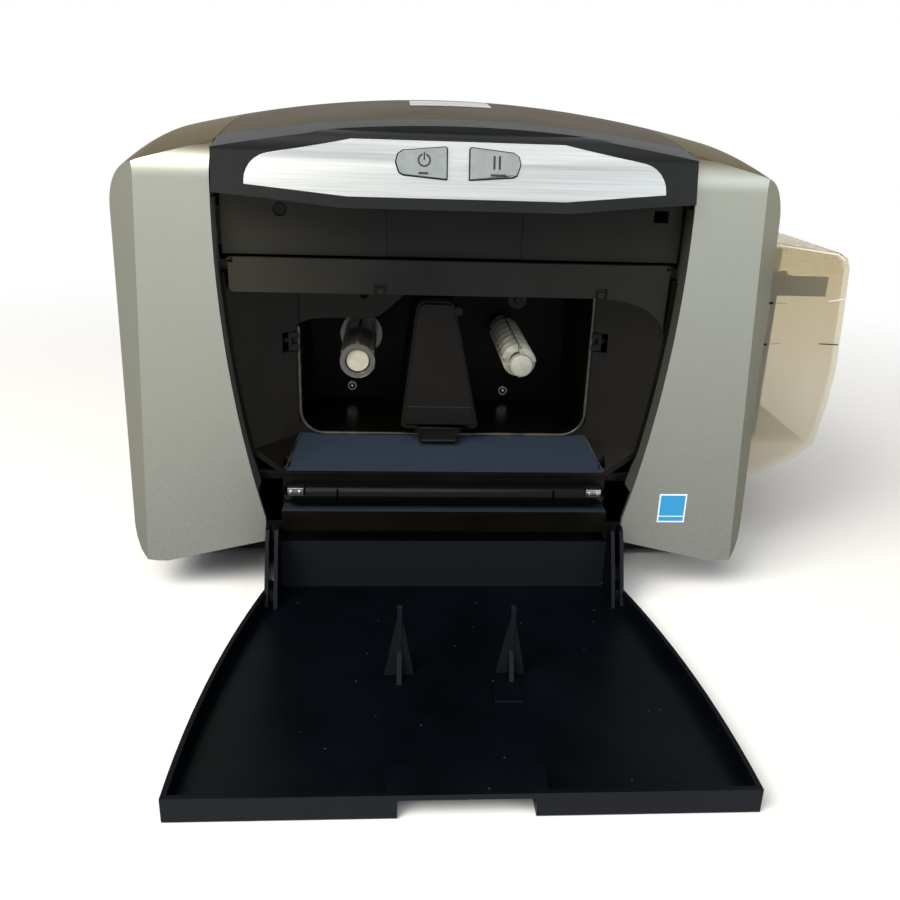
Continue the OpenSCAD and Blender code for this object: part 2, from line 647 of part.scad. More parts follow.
module release_tab() placed() color("black") {
    difference() {
        union() {
            translate([tower_x - 8.8, tower_y + 0.2, tab_top - 7.6]) cube([18.6, 3, 7.6]);
            // wings that guide it behind the cover
            translate([tower_x - 10.7, tower_y + 2.7, tab_top - 3.8]) cube([22.4, 5, 3.8]);
        }
        translate([tower_x - 7.6, tower_y - 1, tab_top - 6.6]) cube([16.2, 2, 5.4]);
    }
    // neck up into the tower
    translate([tower_x - 3, tower_y + 3, tab_top - 0.1]) cube([6, 3, 3]);
}
module printhead() placed() color("gray") {
    translate([tower_x - 8.6, card_y0 - 2.6, 71.4]) cube([17.2, chassis_y - card_y0 + 1.2, 11.6]);
    translate([tower_x - 2, card_y0, card_z + 2.6]) cube([4, card_y1 - card_y0, 2.9]);
}

// ---- lower front frame ----
module front_frame() placed() color("black") {
    back = bar_y + 3;
    translate([-strip_half, back, 39.4]) cube([2 * strip_half, 2, 17.6]);
    translate([-strip_half, strip_y, 39.4]) cube([2 * strip_half, back - strip_y + 1, 2]);
    difference() {
        translate([-strip_half, strip_y, strip_low]) cube([2 * strip_half, 2, 41.4 - strip_low]);
        rod_x(hinge_y, hinge_z, swing_r, -100, 100);                       // clears the door's flange
    }
    for (s = [-1, 1]) {
        translate([s > 0 ? strip_half - 2 : -strip_half, back, 53]) cube([2, frame_y0 + 2 - back, 4]);
        translate([s > 0 ? strip_half - 2 : -frame_x, frame_y0, 53]) cube([frame_x - strip_half + 2, 2, 4]);
    }
}
module rest_bar() placed() color("black") difference() {
    intersection() {
        translate([0, bar_y, bar_z]) rotate([0, 90, 0]) rotate_extrude() intersection() {
            union() {
                translate([0, -bar_half + bar_r]) square([bar_r, 2 * (bar_half - bar_r)]);
                for (s = [-1, 1]) translate([0, s * (bar_half - bar_r)]) circle(r = bar_r);
            }
            translate([0, -bar_half - 1]) square([bar_r + 1, 2 * bar_half + 2]);
        }
        translate([-100, bar_y - 11, 40]) cube([200, 14, 20]);
    }
    for (x = [-76, 66.4]) translate([x, bar_y - 8, bar_z + 0.6]) cube([9.4, 7, 6]);
    for (x = [-52, 50.9]) translate([x, bar_y - 7, 40]) cube([1, 3.4, 20]);
}
module bar_contacts() placed() color("silver")
    for (x = [-75, 67.4]) {
        translate([x, bar_y - 2.8, bar_z + 0.6]) cube([7.4, 1.8, 2.8]);
        for (d = [1, 5]) translate([x + d, bar_y - 3.6, bar_z + 0.6]) cube([1, 0.8, 1.6]);
    }

// ---- front door, drawn open ----
module door_outline(g) {
    intersection() {
        translate([open_r - open_half, hinge_y + hinge_z - open_mid]) circle(r = open_r - door_gap - g, $fn = big);
        translate([open_half - open_r, hinge_y + hinge_z - open_mid]) circle(r = open_r - door_gap - g, $fn = big);
        translate([-120, -door_reach + g]) square([240, door_reach + door_foot - g]);
    }
}
module arm_outline() {
    polygon([[-22, 2.4], [-17.5, 13], [-13, 23], [-9.6, 31], [-6.6, 35.6], [-3.6, 37], [-1, 36], [0.6, 32.6], [1.2, 26],
             [5, 20], [10, 18.4], [13.5, 19.5], [13.5, 8.6], [8, 8.9], [2.4, 9.6], [-1.6, 3.8], [-4, 2.4]]);
    translate([hinge_y, hinge_z]) circle(r = 5.5);
}
module post(x, y) {
    foot = door_t - 0.1;
    translate([x, y, 0]) along_x(2)
        polygon([[-8, foot], [-1.2, 14], [-1.2, post_h - 1], [0, post_h], [1.2, post_h - 1], [1.6, 14], [3, foot]]);
    translate([x, y + 0.8, 0]) along_y(-1.6, 0) polygon([[-6.2, foot], [6.2, foot], [1.1, 29], [-1.1, 29]]);
}
module front_door() placed() color([0.03, 0.03, 0.035]) {
    difference() {
        union() {
            linear_extrude(door_t) door_outline(0);
            difference() {
                linear_extrude(door_rim) door_outline(0);
                translate([0, 0, -1]) linear_extrude(door_rim + 3) door_outline(2);
                translate([-130, -13, -1]) cube([260, 40, 20]);
            }
            // finger recess in the far edge
            translate([-27.4, -door_reach, 0]) cube([54.8, 14.3, door_rim]);
        }
        translate([-23.4, -door_reach - 1, -1]) cube([46.8, 13, door_rim - 1.2]);
    }
    // flange at the hinge end
    translate([-76.4, -0.5, door_t - 0.1]) cube([152.8, 2, flange_h - door_t + 0.1]);
    for (s = [-1, 1]) difference() {
        union() {
            translate([s * (arm_in + arm_t / 2), 0, 0]) along_x(arm_t) arm_outline();
            intersection() {
                translate([s * (arm_out + arm_t / 2), 0, 0]) along_x(arm_t) arm_outline();
                translate([-100, -60, door_t + 0.9]) cube([200, 120, 60]);
            }
            // webs between the arms, and from the inner arm to the flange
            translate([s * bracket_x - bracket_t / 2 - arm_gap - 0.1, -18, 4]) cube([bracket_t + 2 * arm_gap + 0.2, 10, 6]);
            translate([s > 0 ? 76.3 : -arm_in - 0.1, -0.5, door_t - 0.1])
                cube([arm_in + 0.1 - 76.3, 2, flange_h - door_t + 0.1]);
        }
        rod_x(hinge_y, hinge_z, hinge_pin_r + hinge_fit, s > 0 ? 70 : -92, s > 0 ? 92 : -70);
    }
    post(-22.4, -73);
    post(23.6, -73);
    // rest pad
    translate([15.5, -93, door_t - 0.1]) cube([11.4, 19, 0.9]);
}
module hinge_pins() placed() color("silver")
    for (s = [-1, 1]) translate([s * (arm_in + pin_half), 0, 0]) rod_x(hinge_y, hinge_z, hinge_pin_r, -pin_half, pin_half);

// ---- card transport ----
module platen_roller() placed() color([0.15, 0.15, 0.15]) difference() {
    rod_y(bay_x, platen_z, platen_r, platen_y0, platen_y1);
    rod_y(bay_x, platen_z, shaft_r, platen_y0 - 1, platen_y1 + 1);
}
module platen_shaft() placed() color("silver") rod_y(bay_x, platen_z, shaft_r, platen_y0 - 3, pulley_y + 6.5);
module feed_roller(s) {
    rod_y(bay_x + s * feed_dx, feed_z, feed_r, card_y0 + 2, card_y1 - 2);
    rod_y(bay_x + s * feed_dx, feed_z, shaft_r, card_y0 - 4, chassis_y + 8);
}
module left_feed_roller() placed() color([0.2, 0.2, 0.2]) feed_roller(-1);
module right_feed_roller() placed() color([0.2, 0.2, 0.2]) feed_roller(1);
module drive_motor() placed() color("gray") {
    front = chassis_y + chassis_t + 12;
    translate([motor_x - 17, front, motor_z - 17]) cube([34, 30, 34]);
    for (x = [-14, 14]) for (z = [-14, 14]) rod_y(motor_x + x, motor_z + z, 2, chassis_y + chassis_t, front + 0.1);
}
module motor_pinion() placed() color("gold") {
    rod_y(motor_x, motor_z, pulley_r, pulley_y, pulley_y + 6);
    rod_y(motor_x, motor_z, 1.5, pulley_y, chassis_y + chassis_t + 11.8);
}
module platen_pulley() placed() color("white") difference() {
    rod_y(bay_x, platen_z, pulley_r, pulley_y, pulley_y + 6);
    rod_y(bay_x, platen_z, shaft_r, pulley_y - 1, pulley_y + 7);
}
// outline of the belt's loop round the two pulleys, g outside them
module belt_outline(g) hull() {
    translate([motor_x, motor_z]) circle(r = pulley_r + g);
    translate([bay_x, platen_z]) circle(r = pulley_r + g);
}
module drive_belt() placed() color([0.05, 0.05, 0.05]) along_y(pulley_y + 0.5, pulley_y + 5.5) difference() {
    belt_outline(1.5);
    belt_outline(0.3);
}
module main_board() placed() color("green") {
    y = body_d - 15;
    translate([-90, y, 40]) cube([150, 1.6, 120]);
    translate([-60, y - 10, 60]) cube([24, 10.1, 24]);
    translate([0, y - 8, 100]) cube([40, 8.1, 20]);
    for (x = [-86, 52]) for (z = [44, 152]) rod_y(x, z, 3, y + 1.5, body_d - wall - 1.1);
}
module rear_cover() placed() color([0.12, 0.12, 0.13]) difference() {
    intersection() {
        case_form(0);
        translate([-200, body_d - 7.8, 12]) cube([400, 20, 260]);
    }
    intersection() {
        case_form(wall);
        translate([-200, body_d - 30, 12 + wall]) cube([400, 26.4, 260]);
    }
    for (i = [0:9]) translate([-70 + i * 8, body_d - 10, 150]) cube([4, 20, 26]);
    translate([60, body_d - 10, 24]) cube([32, 20, 26]);
    translate([20, body_d - 10, 26]) cube([14, 20, 12]);
    along_y(body_d - 12, body_d + 2) bottom_edge(panel_low);
}
module power_inlet() placed() color("black") difference() {
    translate([60, body_d - 17, 24]) cube([32, 16.8, 26]);
    translate([64, body_d - 11, 28]) cube([24, 30, 18]);
}
module data_socket() placed() color("silver") difference() {
    translate([20, body_d - 13, 26]) cube([14, 12.8, 12]);
    translate([22, body_d - 11, 28]) cube([10, 30, 8]);
}

// ---- card hopper on the right ----
module hopper_base() placed() color([0.1, 0.1, 0.1]) {
    x0 = frame_x + frame_t;
    // floor under the stack of cards
    translate([x0, card_y0 - 0.6, hop_floor - 2]) cube([hopper_x - 10 - x0, hopper_d - 12, 2]);
    // guide wall behind the cards, with the slot of the card weight
    difference() {
        translate([x0, hop_wall_y, hop_floor - 0.1]) cube([hopper_x - 12 - x0, 2, 90]);
        translate([body_half - 3.4, hop_wall_y - 1, hop_floor + 5]) cube([6.8, 4, 80]);
    }
    // front guide of the cards
    translate([body_half + 2, card_y0 - 1.6, hop_floor - 2]) cube([7, 1.2, 86.4]);
}
// section of the hopper cover, set in by i; it runs on to the left of its open side
module hopper_section(i) {
    x = hopper_x;
    offset(delta = -i)
        polygon([[body_half - 8, 35.6], [x - 41, 42], [x - 12, 56.6], [x - 4.6, 63.6], [x - 0.8, 88], [x, 105],
                 [x - 1.4, 134], [x - 2.6, 154.6], [x - 4.4, 159.4], [x - 9, 162.2], [x - 42, 166.4], [body_half - 8, 167.8]]);
}
module hopper_cover() placed() color([0.85, 0.82, 0.7, 0.5]) {
    difference() {
        along_y(hopper_y, hopper_y + hopper_d) intersection() {
            hopper_section(0);
            translate([hop_left, 0]) square([100, 200]);
        }
        along_y(hopper_y + hopper_t, hopper_y + hopper_d - hopper_t) hopper_section(hopper_t);
    }
    // knuckles of its hinge
    for (y = [hopper_y + 8, hopper_y + hopper_d - 12]) difference() {
        union() {
            rod_y(hop_pin[0], hop_pin[1], 3.4, y, y + 4);
            translate([hop_pin[0] - 1, y, hop_pin[1]]) cube([4, 4, 5]);
        }
        rod_y(hop_pin[0], hop_pin[1], hop_pin_r + hinge_fit, y - 1, y + 5);
    }
}
module hopper_pin() placed() color("silver") rod_y(hop_pin[0], hop_pin[1], hop_pin_r, hopper_y + 6, hopper_y + hopper_d - 6);
module card_weight() placed() color([0.08, 0.08, 0.08]) {
    x0 = frame_x + frame_t + 3;
    len = hopper_x - 10 - x0;
    translate([x0, card_y0 + 0.4, weight_z]) cube([len, card_y1 - card_y0 - 0.6, 3]);
    translate([x0, card_y0 + 0.4, weight_z]) cube([len, 2, 9.6]);
    // neck through the guide wall, and the grip behind it
    translate([body_half - 2.6, card_y1 - 0.4, weight_z + 1]) cube([5.2, 6, 6.6]);
    translate([body_half - 6, hop_wall_y + 2.3, weight_z + 1]) cube([12, 3, 6.6]);
}
module side_label() placed() color("dodgerblue") translate([102.2, -0.25, 37.4]) cube([13.4, 0.25, 14.8]);

base_pan();
feet();
left_frame();
right_frame();
left_side_panel();
right_side_panel();
top_bridge();
top_lid();
nameplate();
fascia();
control_plate();
power_button();
pause_button();
power_mark();
pause_mark();
button_board();
header_panel();
upper_rail();
rail_pins();
bay_housing();
chassis_plate();
left_catch();
right_catch();
takeup_spindle();
takeup_core();
takeup_gear();
supply_spindle();
supply_gear();
guide_wheel();
bay_screws();
printhead_tower();
tower_cover();
release_tab();
printhead();
front_frame();
rest_bar();
bar_contacts();
front_door();
hinge_pins();
platen_roller();
platen_shaft();
left_feed_roller();
right_feed_roller();
drive_motor();
motor_pinion();
platen_pulley();
drive_belt();
main_board();
rear_cover();
power_inlet();
data_socket();
hopper_base();
hopper_cover();
hopper_pin();
card_weight();
side_label();
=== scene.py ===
"""A desktop id card printer, seen from the front with its door let down: silver side panels, a black lid,
a leaning key panel, the ribbon bay with its two spindles, and a smoky card hopper on the right.
"""
import json
import math

import bmesh
import bpy
from mathutils import Matrix, Vector


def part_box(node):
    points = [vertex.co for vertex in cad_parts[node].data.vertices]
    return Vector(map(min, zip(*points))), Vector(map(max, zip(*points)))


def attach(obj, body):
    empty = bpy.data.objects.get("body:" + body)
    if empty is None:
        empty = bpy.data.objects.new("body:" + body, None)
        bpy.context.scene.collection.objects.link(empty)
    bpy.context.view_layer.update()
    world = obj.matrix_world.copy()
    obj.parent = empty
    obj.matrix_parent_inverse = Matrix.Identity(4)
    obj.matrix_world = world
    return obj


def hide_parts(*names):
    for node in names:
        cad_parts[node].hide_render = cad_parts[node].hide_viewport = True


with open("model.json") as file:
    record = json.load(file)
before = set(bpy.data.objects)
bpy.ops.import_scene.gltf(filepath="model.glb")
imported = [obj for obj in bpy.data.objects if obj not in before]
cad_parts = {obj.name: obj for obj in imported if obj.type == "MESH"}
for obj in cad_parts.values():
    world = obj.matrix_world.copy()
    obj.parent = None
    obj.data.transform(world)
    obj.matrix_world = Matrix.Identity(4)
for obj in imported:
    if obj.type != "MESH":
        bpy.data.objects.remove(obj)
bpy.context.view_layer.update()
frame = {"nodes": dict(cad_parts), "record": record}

# ---- The photograph's view, the floor and the lamps ----
# The printer stands on a plain pale floor in soft light from the left and above. Everything is placed
# from the middle of the body, its front face and the table, in millimetres.
MM = 0.001
lid_low, lid_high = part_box("top_lid")
middle_x = (lid_low.x + lid_high.x) / 2
front_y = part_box("left_side_panel")[0].y


def at(x, y, z):
    """A point right of the middle, behind the front face and over the table, in millimetres."""
    return Vector((middle_x + x * MM, front_y + y * MM, z * MM))


# the camera's turn and place, fitted to the edges of the case, the door and the hopper in the photograph
yaw, pitch, roll = math.radians(4.02), math.radians(20.94), math.radians(1.94)
camera_place = at(-26.5, -388.1, 222.7)
forward = Vector((math.sin(yaw) * math.cos(pitch), math.cos(yaw) * math.cos(pitch), -math.sin(pitch)))
level = Vector((math.cos(yaw), -math.sin(yaw), 0))
down = forward.cross(level)
rightward = math.cos(roll) * level - math.sin(roll) * down
downward = math.sin(roll) * level + math.cos(roll) * down
camera = bpy.data.objects.new("camera", bpy.data.cameras.new("camera"))
bpy.context.collection.objects.link(camera)
camera_turn = Matrix((rightward, -downward, -forward)).transposed().to_4x4()
camera.matrix_world = Matrix.Translation(camera_place) @ camera_turn
camera.data.lens = 36.0
camera.data.sensor_width = 36.0
camera.data.clip_start = 10 * MM
bpy.context.scene.camera = camera
bpy.context.scene.view_settings.view_transform = "Standard"


def colour(code):
    """An sRGB hex colour as linear values."""
    parts = [int(code[i:i + 2], 16) / 255 for i in (0, 2, 4)]
    return [c / 12.92 if c <= 0.04045 else ((c + 0.055) / 1.055) ** 2.4 for c in parts] + [1.0]


def put(tree, kind, values=None, links=None):
    """Adds one node: values are its settings, fixed inputs or ramp stops; links are the outputs led into it."""
    node = tree.nodes.new(kind if "Node" in kind else "ShaderNode" + kind)
    for name, value in (values or {}).items():
        if name == "stops":
            for stop, (place, code) in zip(node.color_ramp.elements, value):
                stop.position = place
                stop.color = colour(code)
        elif isinstance(name, int) or name in node.inputs:
            node.inputs[name].default_value = value
        else:
            setattr(node, name, value)
    for name, output in (links or {}).items():
        tree.links.new(output, node.inputs[name])
    return node


def surface(name, code, **sockets):
    """A new material with one principled surface, its colour and its fixed values."""
    made = bpy.data.materials.new(name)
    made.use_nodes = True
    shader = made.node_tree.nodes["Principled BSDF"]
    shader.inputs["Base Color"].default_value = colour(code)
    for socket, value in sockets.items():
        shader.inputs[socket.replace("_", " ")].default_value = value
    return made, made.node_tree, shader


# the camera, the glossy faces and what shows through clear plastic meet a plain white room; all other
# light comes from a room that is pale on the camera's side and turns brown behind the printer
world = bpy.data.worlds.new("studio")
bpy.context.scene.world = world
world.use_nodes = True
tree = world.node_tree
tree.nodes.clear()
path = put(tree, "LightPath")
direct = put(tree, "Math", {"operation": "MAXIMUM"},
             {0: path.outputs["Is Camera Ray"], 1: path.outputs["Is Transmission Ray"]})
seen = put(tree, "Math", {"operation": "MAXIMUM"}, {0: direct.outputs[0], 1: path.outputs["Is Glossy Ray"]})
towards = put(tree, "SeparateXYZ", links={"Vector": put(tree, "TexCoord").outputs["Generated"]})
behind = put(tree, "MapRange", {"From Min": -1.0}, {"Value": towards.outputs["Y"]})
wall = put(tree, "ValToRGB", {"stops": [(0.45, "E2E6EA"), (0.8, "77624A")]}, {"Fac": behind.outputs["Result"]})
soft = put(tree, "Background", {"Strength": 0.5}, {"Color": wall.outputs["Color"]})
white = put(tree, "Background", {"Color": colour("FFFFFF"), "Strength": 1.0})
both = put(tree, "MixShader", links={0: seen.outputs[0], 1: soft.outputs[0], 2: white.outputs[0]})
put(tree, "OutputWorld", links={"Surface": both.outputs[0]})

# matt paper without any shine, which runs out into the white room, so that no edge of it shows
half, under = 6.0, -0.4 * MM
floor_mesh = bpy.data.meshes.new("floor")
floor_mesh.from_pydata([(-half, -half, under), (half, -half, under), (half, half, under), (-half, half, under)],
                       [], [(0, 1, 2, 3)])
floor = bpy.data.objects.new("floor", floor_mesh)
bpy.context.collection.objects.link(floor)
paper, tree, shader = surface("pale_paper_floor", "F6F6F5", Roughness=0.95, Specular_IOR_Level=0.0)
spread = put(tree, "VectorMath", {"operation": "LENGTH"}, {0: put(tree, "TexCoord").outputs["Object"]})
fading = put(tree, "MapRange", {"From Min": 0.3, "From Max": 0.9, "To Min": 1.0, "To Max": 0.0,
                                "interpolation_type": "SMOOTHSTEP"}, {"Value": spread.outputs["Value"]})
tree.links.new(fading.outputs["Result"], shader.inputs["Alpha"])
floor_mesh.materials.append(paper)

# size is the sun's angle, or the side of a square lamp in metres; all point at the middle of the bay
aim = at(0, 60, 90)
for name, kind, place, size, power, tint in [
        ("daylight", "SUN", (-500, -900, 1500), math.radians(50), 1.5, "FFFDF8"),
        ("window", "AREA", (-700, -600, 900), 0.7, 13, "FFFAF0"),
        ("room", "AREA", (800, -900, 700), 0.6, 3, "F2F6FF")]:
    lamp = bpy.data.lights.new(name, kind)
    lamp.energy = power
    lamp.color = colour(tint)[:3]
    if kind == "SUN":
        lamp.angle = size
    else:
        lamp.size = size
    holder = bpy.data.objects.new(name, lamp)
    bpy.context.collection.objects.link(holder)
    holder.location = at(*place)
    holder.rotation_euler = (aim - at(*place)).to_track_quat("-Z", "Y").to_euler()

# ---- The silver side panels ----
# Two ABS mouldings, one each side, sprayed with a metallic silver lacquer. Bosses inside them rest on the
# steel side frames; their outer edges are rounded and the front corners have a bevelled crease.
body_of = {node: body for body, nodes in frame["record"]["behaviour"]["bodies"].items() for node in nodes}
# the Mix node's sockets for colours: how far it goes over, from which colour, to which one, and its result
SHARE, UNDER, OVER, MIXED = 0, 6, 7, 2


def finished(name, finish, edge=0.3, steps=2):
    """A copy of a CAD piece with softly rounded edges, in its real finish; it stands for the piece."""
    welded, flat, sharp = 0.002 * MM, math.radians(0.3), math.radians(30)
    mesh = bmesh.new()
    mesh.from_mesh(frame["nodes"][name].data)
    bmesh.ops.remove_doubles(mesh, verts=mesh.verts, dist=welded)
    bmesh.ops.dissolve_limit(mesh, angle_limit=flat, use_dissolve_boundaries=False,
                             verts=mesh.verts, edges=mesh.edges)
    data = bpy.data.meshes.new(name + "_form")
    mesh.to_mesh(data)
    mesh.free()
    data.shade_smooth()
    data.set_sharp_from_angle(angle=sharp)
    piece = bpy.data.objects.new(name + "_form", data)
    bpy.context.collection.objects.link(piece)
    if edge:
        bevel = piece.modifiers.new("edges", "BEVEL")
        bevel.width = edge * MM
        bevel.segments = steps
        bevel.limit_method = "ANGLE"
        bevel.angle_limit = sharp
        evened = piece.modifiers.new("evened", "WEIGHTED_NORMAL")
        evened.mode = "FACE_AREA"
        rounded = bpy.data.meshes.new_from_object(piece.evaluated_get(bpy.context.evaluated_depsgraph_get()))
        piece.modifiers.clear()
        piece.data = rounded
    piece.data.materials.clear()
    piece.data.materials.append(finish)
    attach(piece, body_of[name])
    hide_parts(name)


def facing(tree, axis, start, end):
    """How far a surface faces along an axis: 0 where that part of its normal is start, 1 where it is end."""
    normal = put(tree, "SeparateXYZ", links={"Vector": put(tree, "TexCoord").outputs["Normal"]})
    share = put(tree, "MapRange", {"From Min": start, "From Max": end, "interpolation_type": "SMOOTHSTEP"},
                {"Value": normal.outputs[axis]})
    return share.outputs["Result"]


def along(tree, axis, low, high):
    """Where a point lies along an axis: 0 at low, 1 at high, in millimetres from the middle, front or table."""
    start = {"X": middle_x, "Y": front_y, "Z": 0}[axis]
    place = put(tree, "SeparateXYZ", links={"Vector": put(tree, "TexCoord").outputs["Object"]})
    share = put(tree, "MapRange", {"From Min": start + low * MM, "From Max": start + high * MM},
                {"Value": place.outputs[axis]})
    return share.outputs["Result"]


# sprayed lacquer with metal flakes: a grey metal look with a soft, broad shine and a fine sparkle; real
# flakes are under 0.1 mm and are drawn 0.9 mm apart, as coarse as they need to be to show
silver, tree, shader = surface("silver_lacquer_on_abs", "8F928D", Metallic=0.8, Roughness=0.4,
                               Specular_Tint=colour("A39A84"))
where = put(tree, "TexCoord")
flakes = put(tree, "TexNoise", {"Scale": 1 / (0.9 * MM), "Detail": 3.0}, {"Vector": where.outputs["Object"]})
clouds = put(tree, "TexNoise", {"Scale": 1 / (60 * MM), "Detail": 2.0}, {"Vector": where.outputs["Object"]})
sparkle = put(tree, "ValToRGB", {"stops": [(0.3, "7C7F7B"), (0.7, "868985")]}, {"Fac": flakes.outputs["Fac"]})
# painted light: the lacquer is coloured paler upwards, from 20 mm to 190 mm over the table
lighter = put(tree, "Mix", {"data_type": "RGBA", OVER: colour("A1A49B")},
              {SHARE: along(tree, "Z", 20, 190), UNDER: sparkle.outputs["Color"]})
# painted shade on the upper left side, and a painted reflection of the room's warm brown on the tops
left_top = put(tree, "Math", {"operation": "MULTIPLY"},
               {0: facing(tree, "X", -0.75, -0.95), 1: along(tree, "Z", 60, 150)})
darker = put(tree, "Mix", {"data_type": "RGBA", OVER: colour("72726A")},
             {SHARE: left_top.outputs[0], UNDER: lighter.outputs[MIXED]})
painted_brown_reflection = put(tree, "Mix", {"data_type": "RGBA", OVER: colour("6A6150")},
             {SHARE: facing(tree, "Z", 0.4, 0.9), UNDER: darker.outputs[MIXED]})
tree.links.new(painted_brown_reflection.outputs[MIXED], shader.inputs["Base Color"])
matt = put(tree, "MapRange", {"To Min": 0.34, "To Max": 0.46}, {"Value": clouds.outputs["Fac"]})
tree.links.new(matt.outputs["Result"], shader.inputs["Roughness"])
bump = put(tree, "Bump", {"Strength": 0.1, "Distance": 0.012 * MM}, {"Height": flakes.outputs["Fac"]})
tree.links.new(bump.outputs["Normal"], shader.inputs["Normal"])
for name in ["left_side_panel", "right_side_panel"]:
    finished(name, silver, edge=0.7, steps=3)

# ---- The lid and the rear cover ----
# The lid is one long ABS moulding, which lies on the bridge between the side panels; the rear cover closes the
# back, and has ten vent slots and the two sockets. Both come from a mould with a spark-eroded grain.

# grained black ABS: a deep black without a clear mirror image, with a painted brown reflection of the room on
# its top faces; the real grain is about 0.2 mm and is drawn at 0.7 mm
black, tree, shader = surface("grained_black_abs", "131211", Roughness=0.5, Specular_IOR_Level=0.03)
where = put(tree, "TexCoord")
grain = put(tree, "TexNoise", {"Scale": 1 / (0.7 * MM), "Detail": 2.0}, {"Vector": where.outputs["Object"]})
patches = put(tree, "TexNoise", {"Scale": 1 / (45 * MM), "Detail": 3.0}, {"Vector": where.outputs["Object"]})
dust = put(tree, "ValToRGB", {"stops": [(0.35, "191A1A"), (0.75, "202121")]}, {"Fac": patches.outputs["Fac"]})
painted_brown_reflection = put(tree, "Mix", {"data_type": "RGBA", OVER: colour("40382A")},
             {SHARE: facing(tree, "Z", 0.8, 0.99), UNDER: dust.outputs["Color"]})
tree.links.new(painted_brown_reflection.outputs[MIXED], shader.inputs["Base Color"])
matt = put(tree, "MapRange", {"To Min": 0.4, "To Max": 0.55}, {"Value": patches.outputs["Fac"]})
tree.links.new(matt.outputs["Result"], shader.inputs["Roughness"])
bump = put(tree, "Bump", {"Strength": 0.25, "Distance": 0.06 * MM}, {"Height": grain.outputs["Fac"]})
tree.links.new(bump.outputs["Normal"], shader.inputs["Normal"])
for name in ["top_lid", "rear_cover"]:
    finished(name, black, edge=0.5)

# ---- The fascia, its metal plate and the two keys ----
# The fascia is one black moulding, hooked to the bridge. A plate of 1 mm aluminium lies in its recess, with
# two windows for the grey keys; each key has a printed mark with a small lamp slot under it.

# satin black ABS: a soft grey sheen along the rounded edges, broken by rubbed patches
satin, tree, shader = surface("satin_black_abs", "1A1B1B", Roughness=0.42, Specular_IOR_Level=0.12)
where = put(tree, "TexCoord")
rubbed = put(tree, "TexNoise", {"Scale": 1 / (25 * MM), "Detail": 3.0}, {"Vector": where.outputs["Object"]})
tone = put(tree, "ValToRGB", {"stops": [(0.3, "181A1A"), (0.75, "1F2121")]}, {"Fac": rubbed.outputs["Fac"]})
tree.links.new(tone.outputs["Color"], shader.inputs["Base Color"])
matt = put(tree, "MapRange", {"To Min": 0.38, "To Max": 0.5}, {"Value": rubbed.outputs["Fac"]})
tree.links.new(matt.outputs["Result"], shader.inputs["Roughness"])
finished("fascia", satin, edge=1.2, steps=4)

# aluminium brushed from side to side: pale and bright, its shine drawn out along fine lines; with the noise's
# scale they are about 76 mm long and 0.5 mm apart, coarser than the real ones
brushed, tree, shader = surface("brushed_aluminium", "CDCFD1", Metallic=1.0, Roughness=0.36, Anisotropic=0.5)
where = put(tree, "TexCoord")
drawn = put(tree, "Mapping", {"Scale": (6.0, 900.0, 900.0)}, {"Vector": where.outputs["Object"]})
lines = put(tree, "TexNoise", {"Scale": 2.2, "Detail": 6.0, "Roughness": 0.7},
            {"Vector": drawn.outputs["Vector"]})
tone = put(tree, "ValToRGB", {"stops": [(0.3, "A9ACAC"), (0.7, "C2C5C4")]}, {"Fac": lines.outputs["Fac"]})
tree.links.new(tone.outputs["Color"], shader.inputs["Base Color"])
matt = put(tree, "MapRange", {"To Min": 0.28, "To Max": 0.48}, {"Value": lines.outputs["Fac"]})
tree.links.new(matt.outputs["Result"], shader.inputs["Roughness"])
bump = put(tree, "Bump", {"Strength": 0.2, "Distance": 0.04 * MM}, {"Height": lines.outputs["Fac"]})
tree.links.new(bump.outputs["Normal"], shader.inputs["Normal"])
for name in ["control_plate", "nameplate"]:
    finished(name, brushed, edge=0.15)

# moulded grey key plastic: an even, silky grey, a little mottled where fingers touch it
key_grey, tree, shader = surface("satin_grey_key_plastic", "A9ADAF", Roughness=0.45)
where = put(tree, "TexCoord")
wear = put(tree, "TexNoise", {"Scale": 1 / (4 * MM), "Detail": 4.0}, {"Vector": where.outputs["Object"]})
tone = put(tree, "ValToRGB", {"stops": [(0.3, "7F8686"), (0.7, "8C9392")]}, {"Fac": wear.outputs["Fac"]})
tree.links.new(tone.outputs["Color"], shader.inputs["Base Color"])
for name in ["power_button", "pause_button"]:
    finished(name, key_grey, edge=0.45, steps=3)

# printing ink: flat black, thinner in tiny spots
ink, tree, shader = surface("printed_black_mark", "141516", Roughness=0.6)
where = put(tree, "TexCoord")
edge_wear = put(tree, "TexNoise", {"Scale": 1 / (0.6 * MM)}, {"Vector": where.outputs["Object"]})
tone = put(tree, "ValToRGB", {"stops": [(0.3, "0F1011"), (0.8, "222325")]}, {"Fac": edge_wear.outputs["Fac"]})
tree.links.new(tone.outputs["Color"], shader.inputs["Base Color"])
for name in ["power_mark", "pause_mark"]:
    finished(name, ink, edge=0)
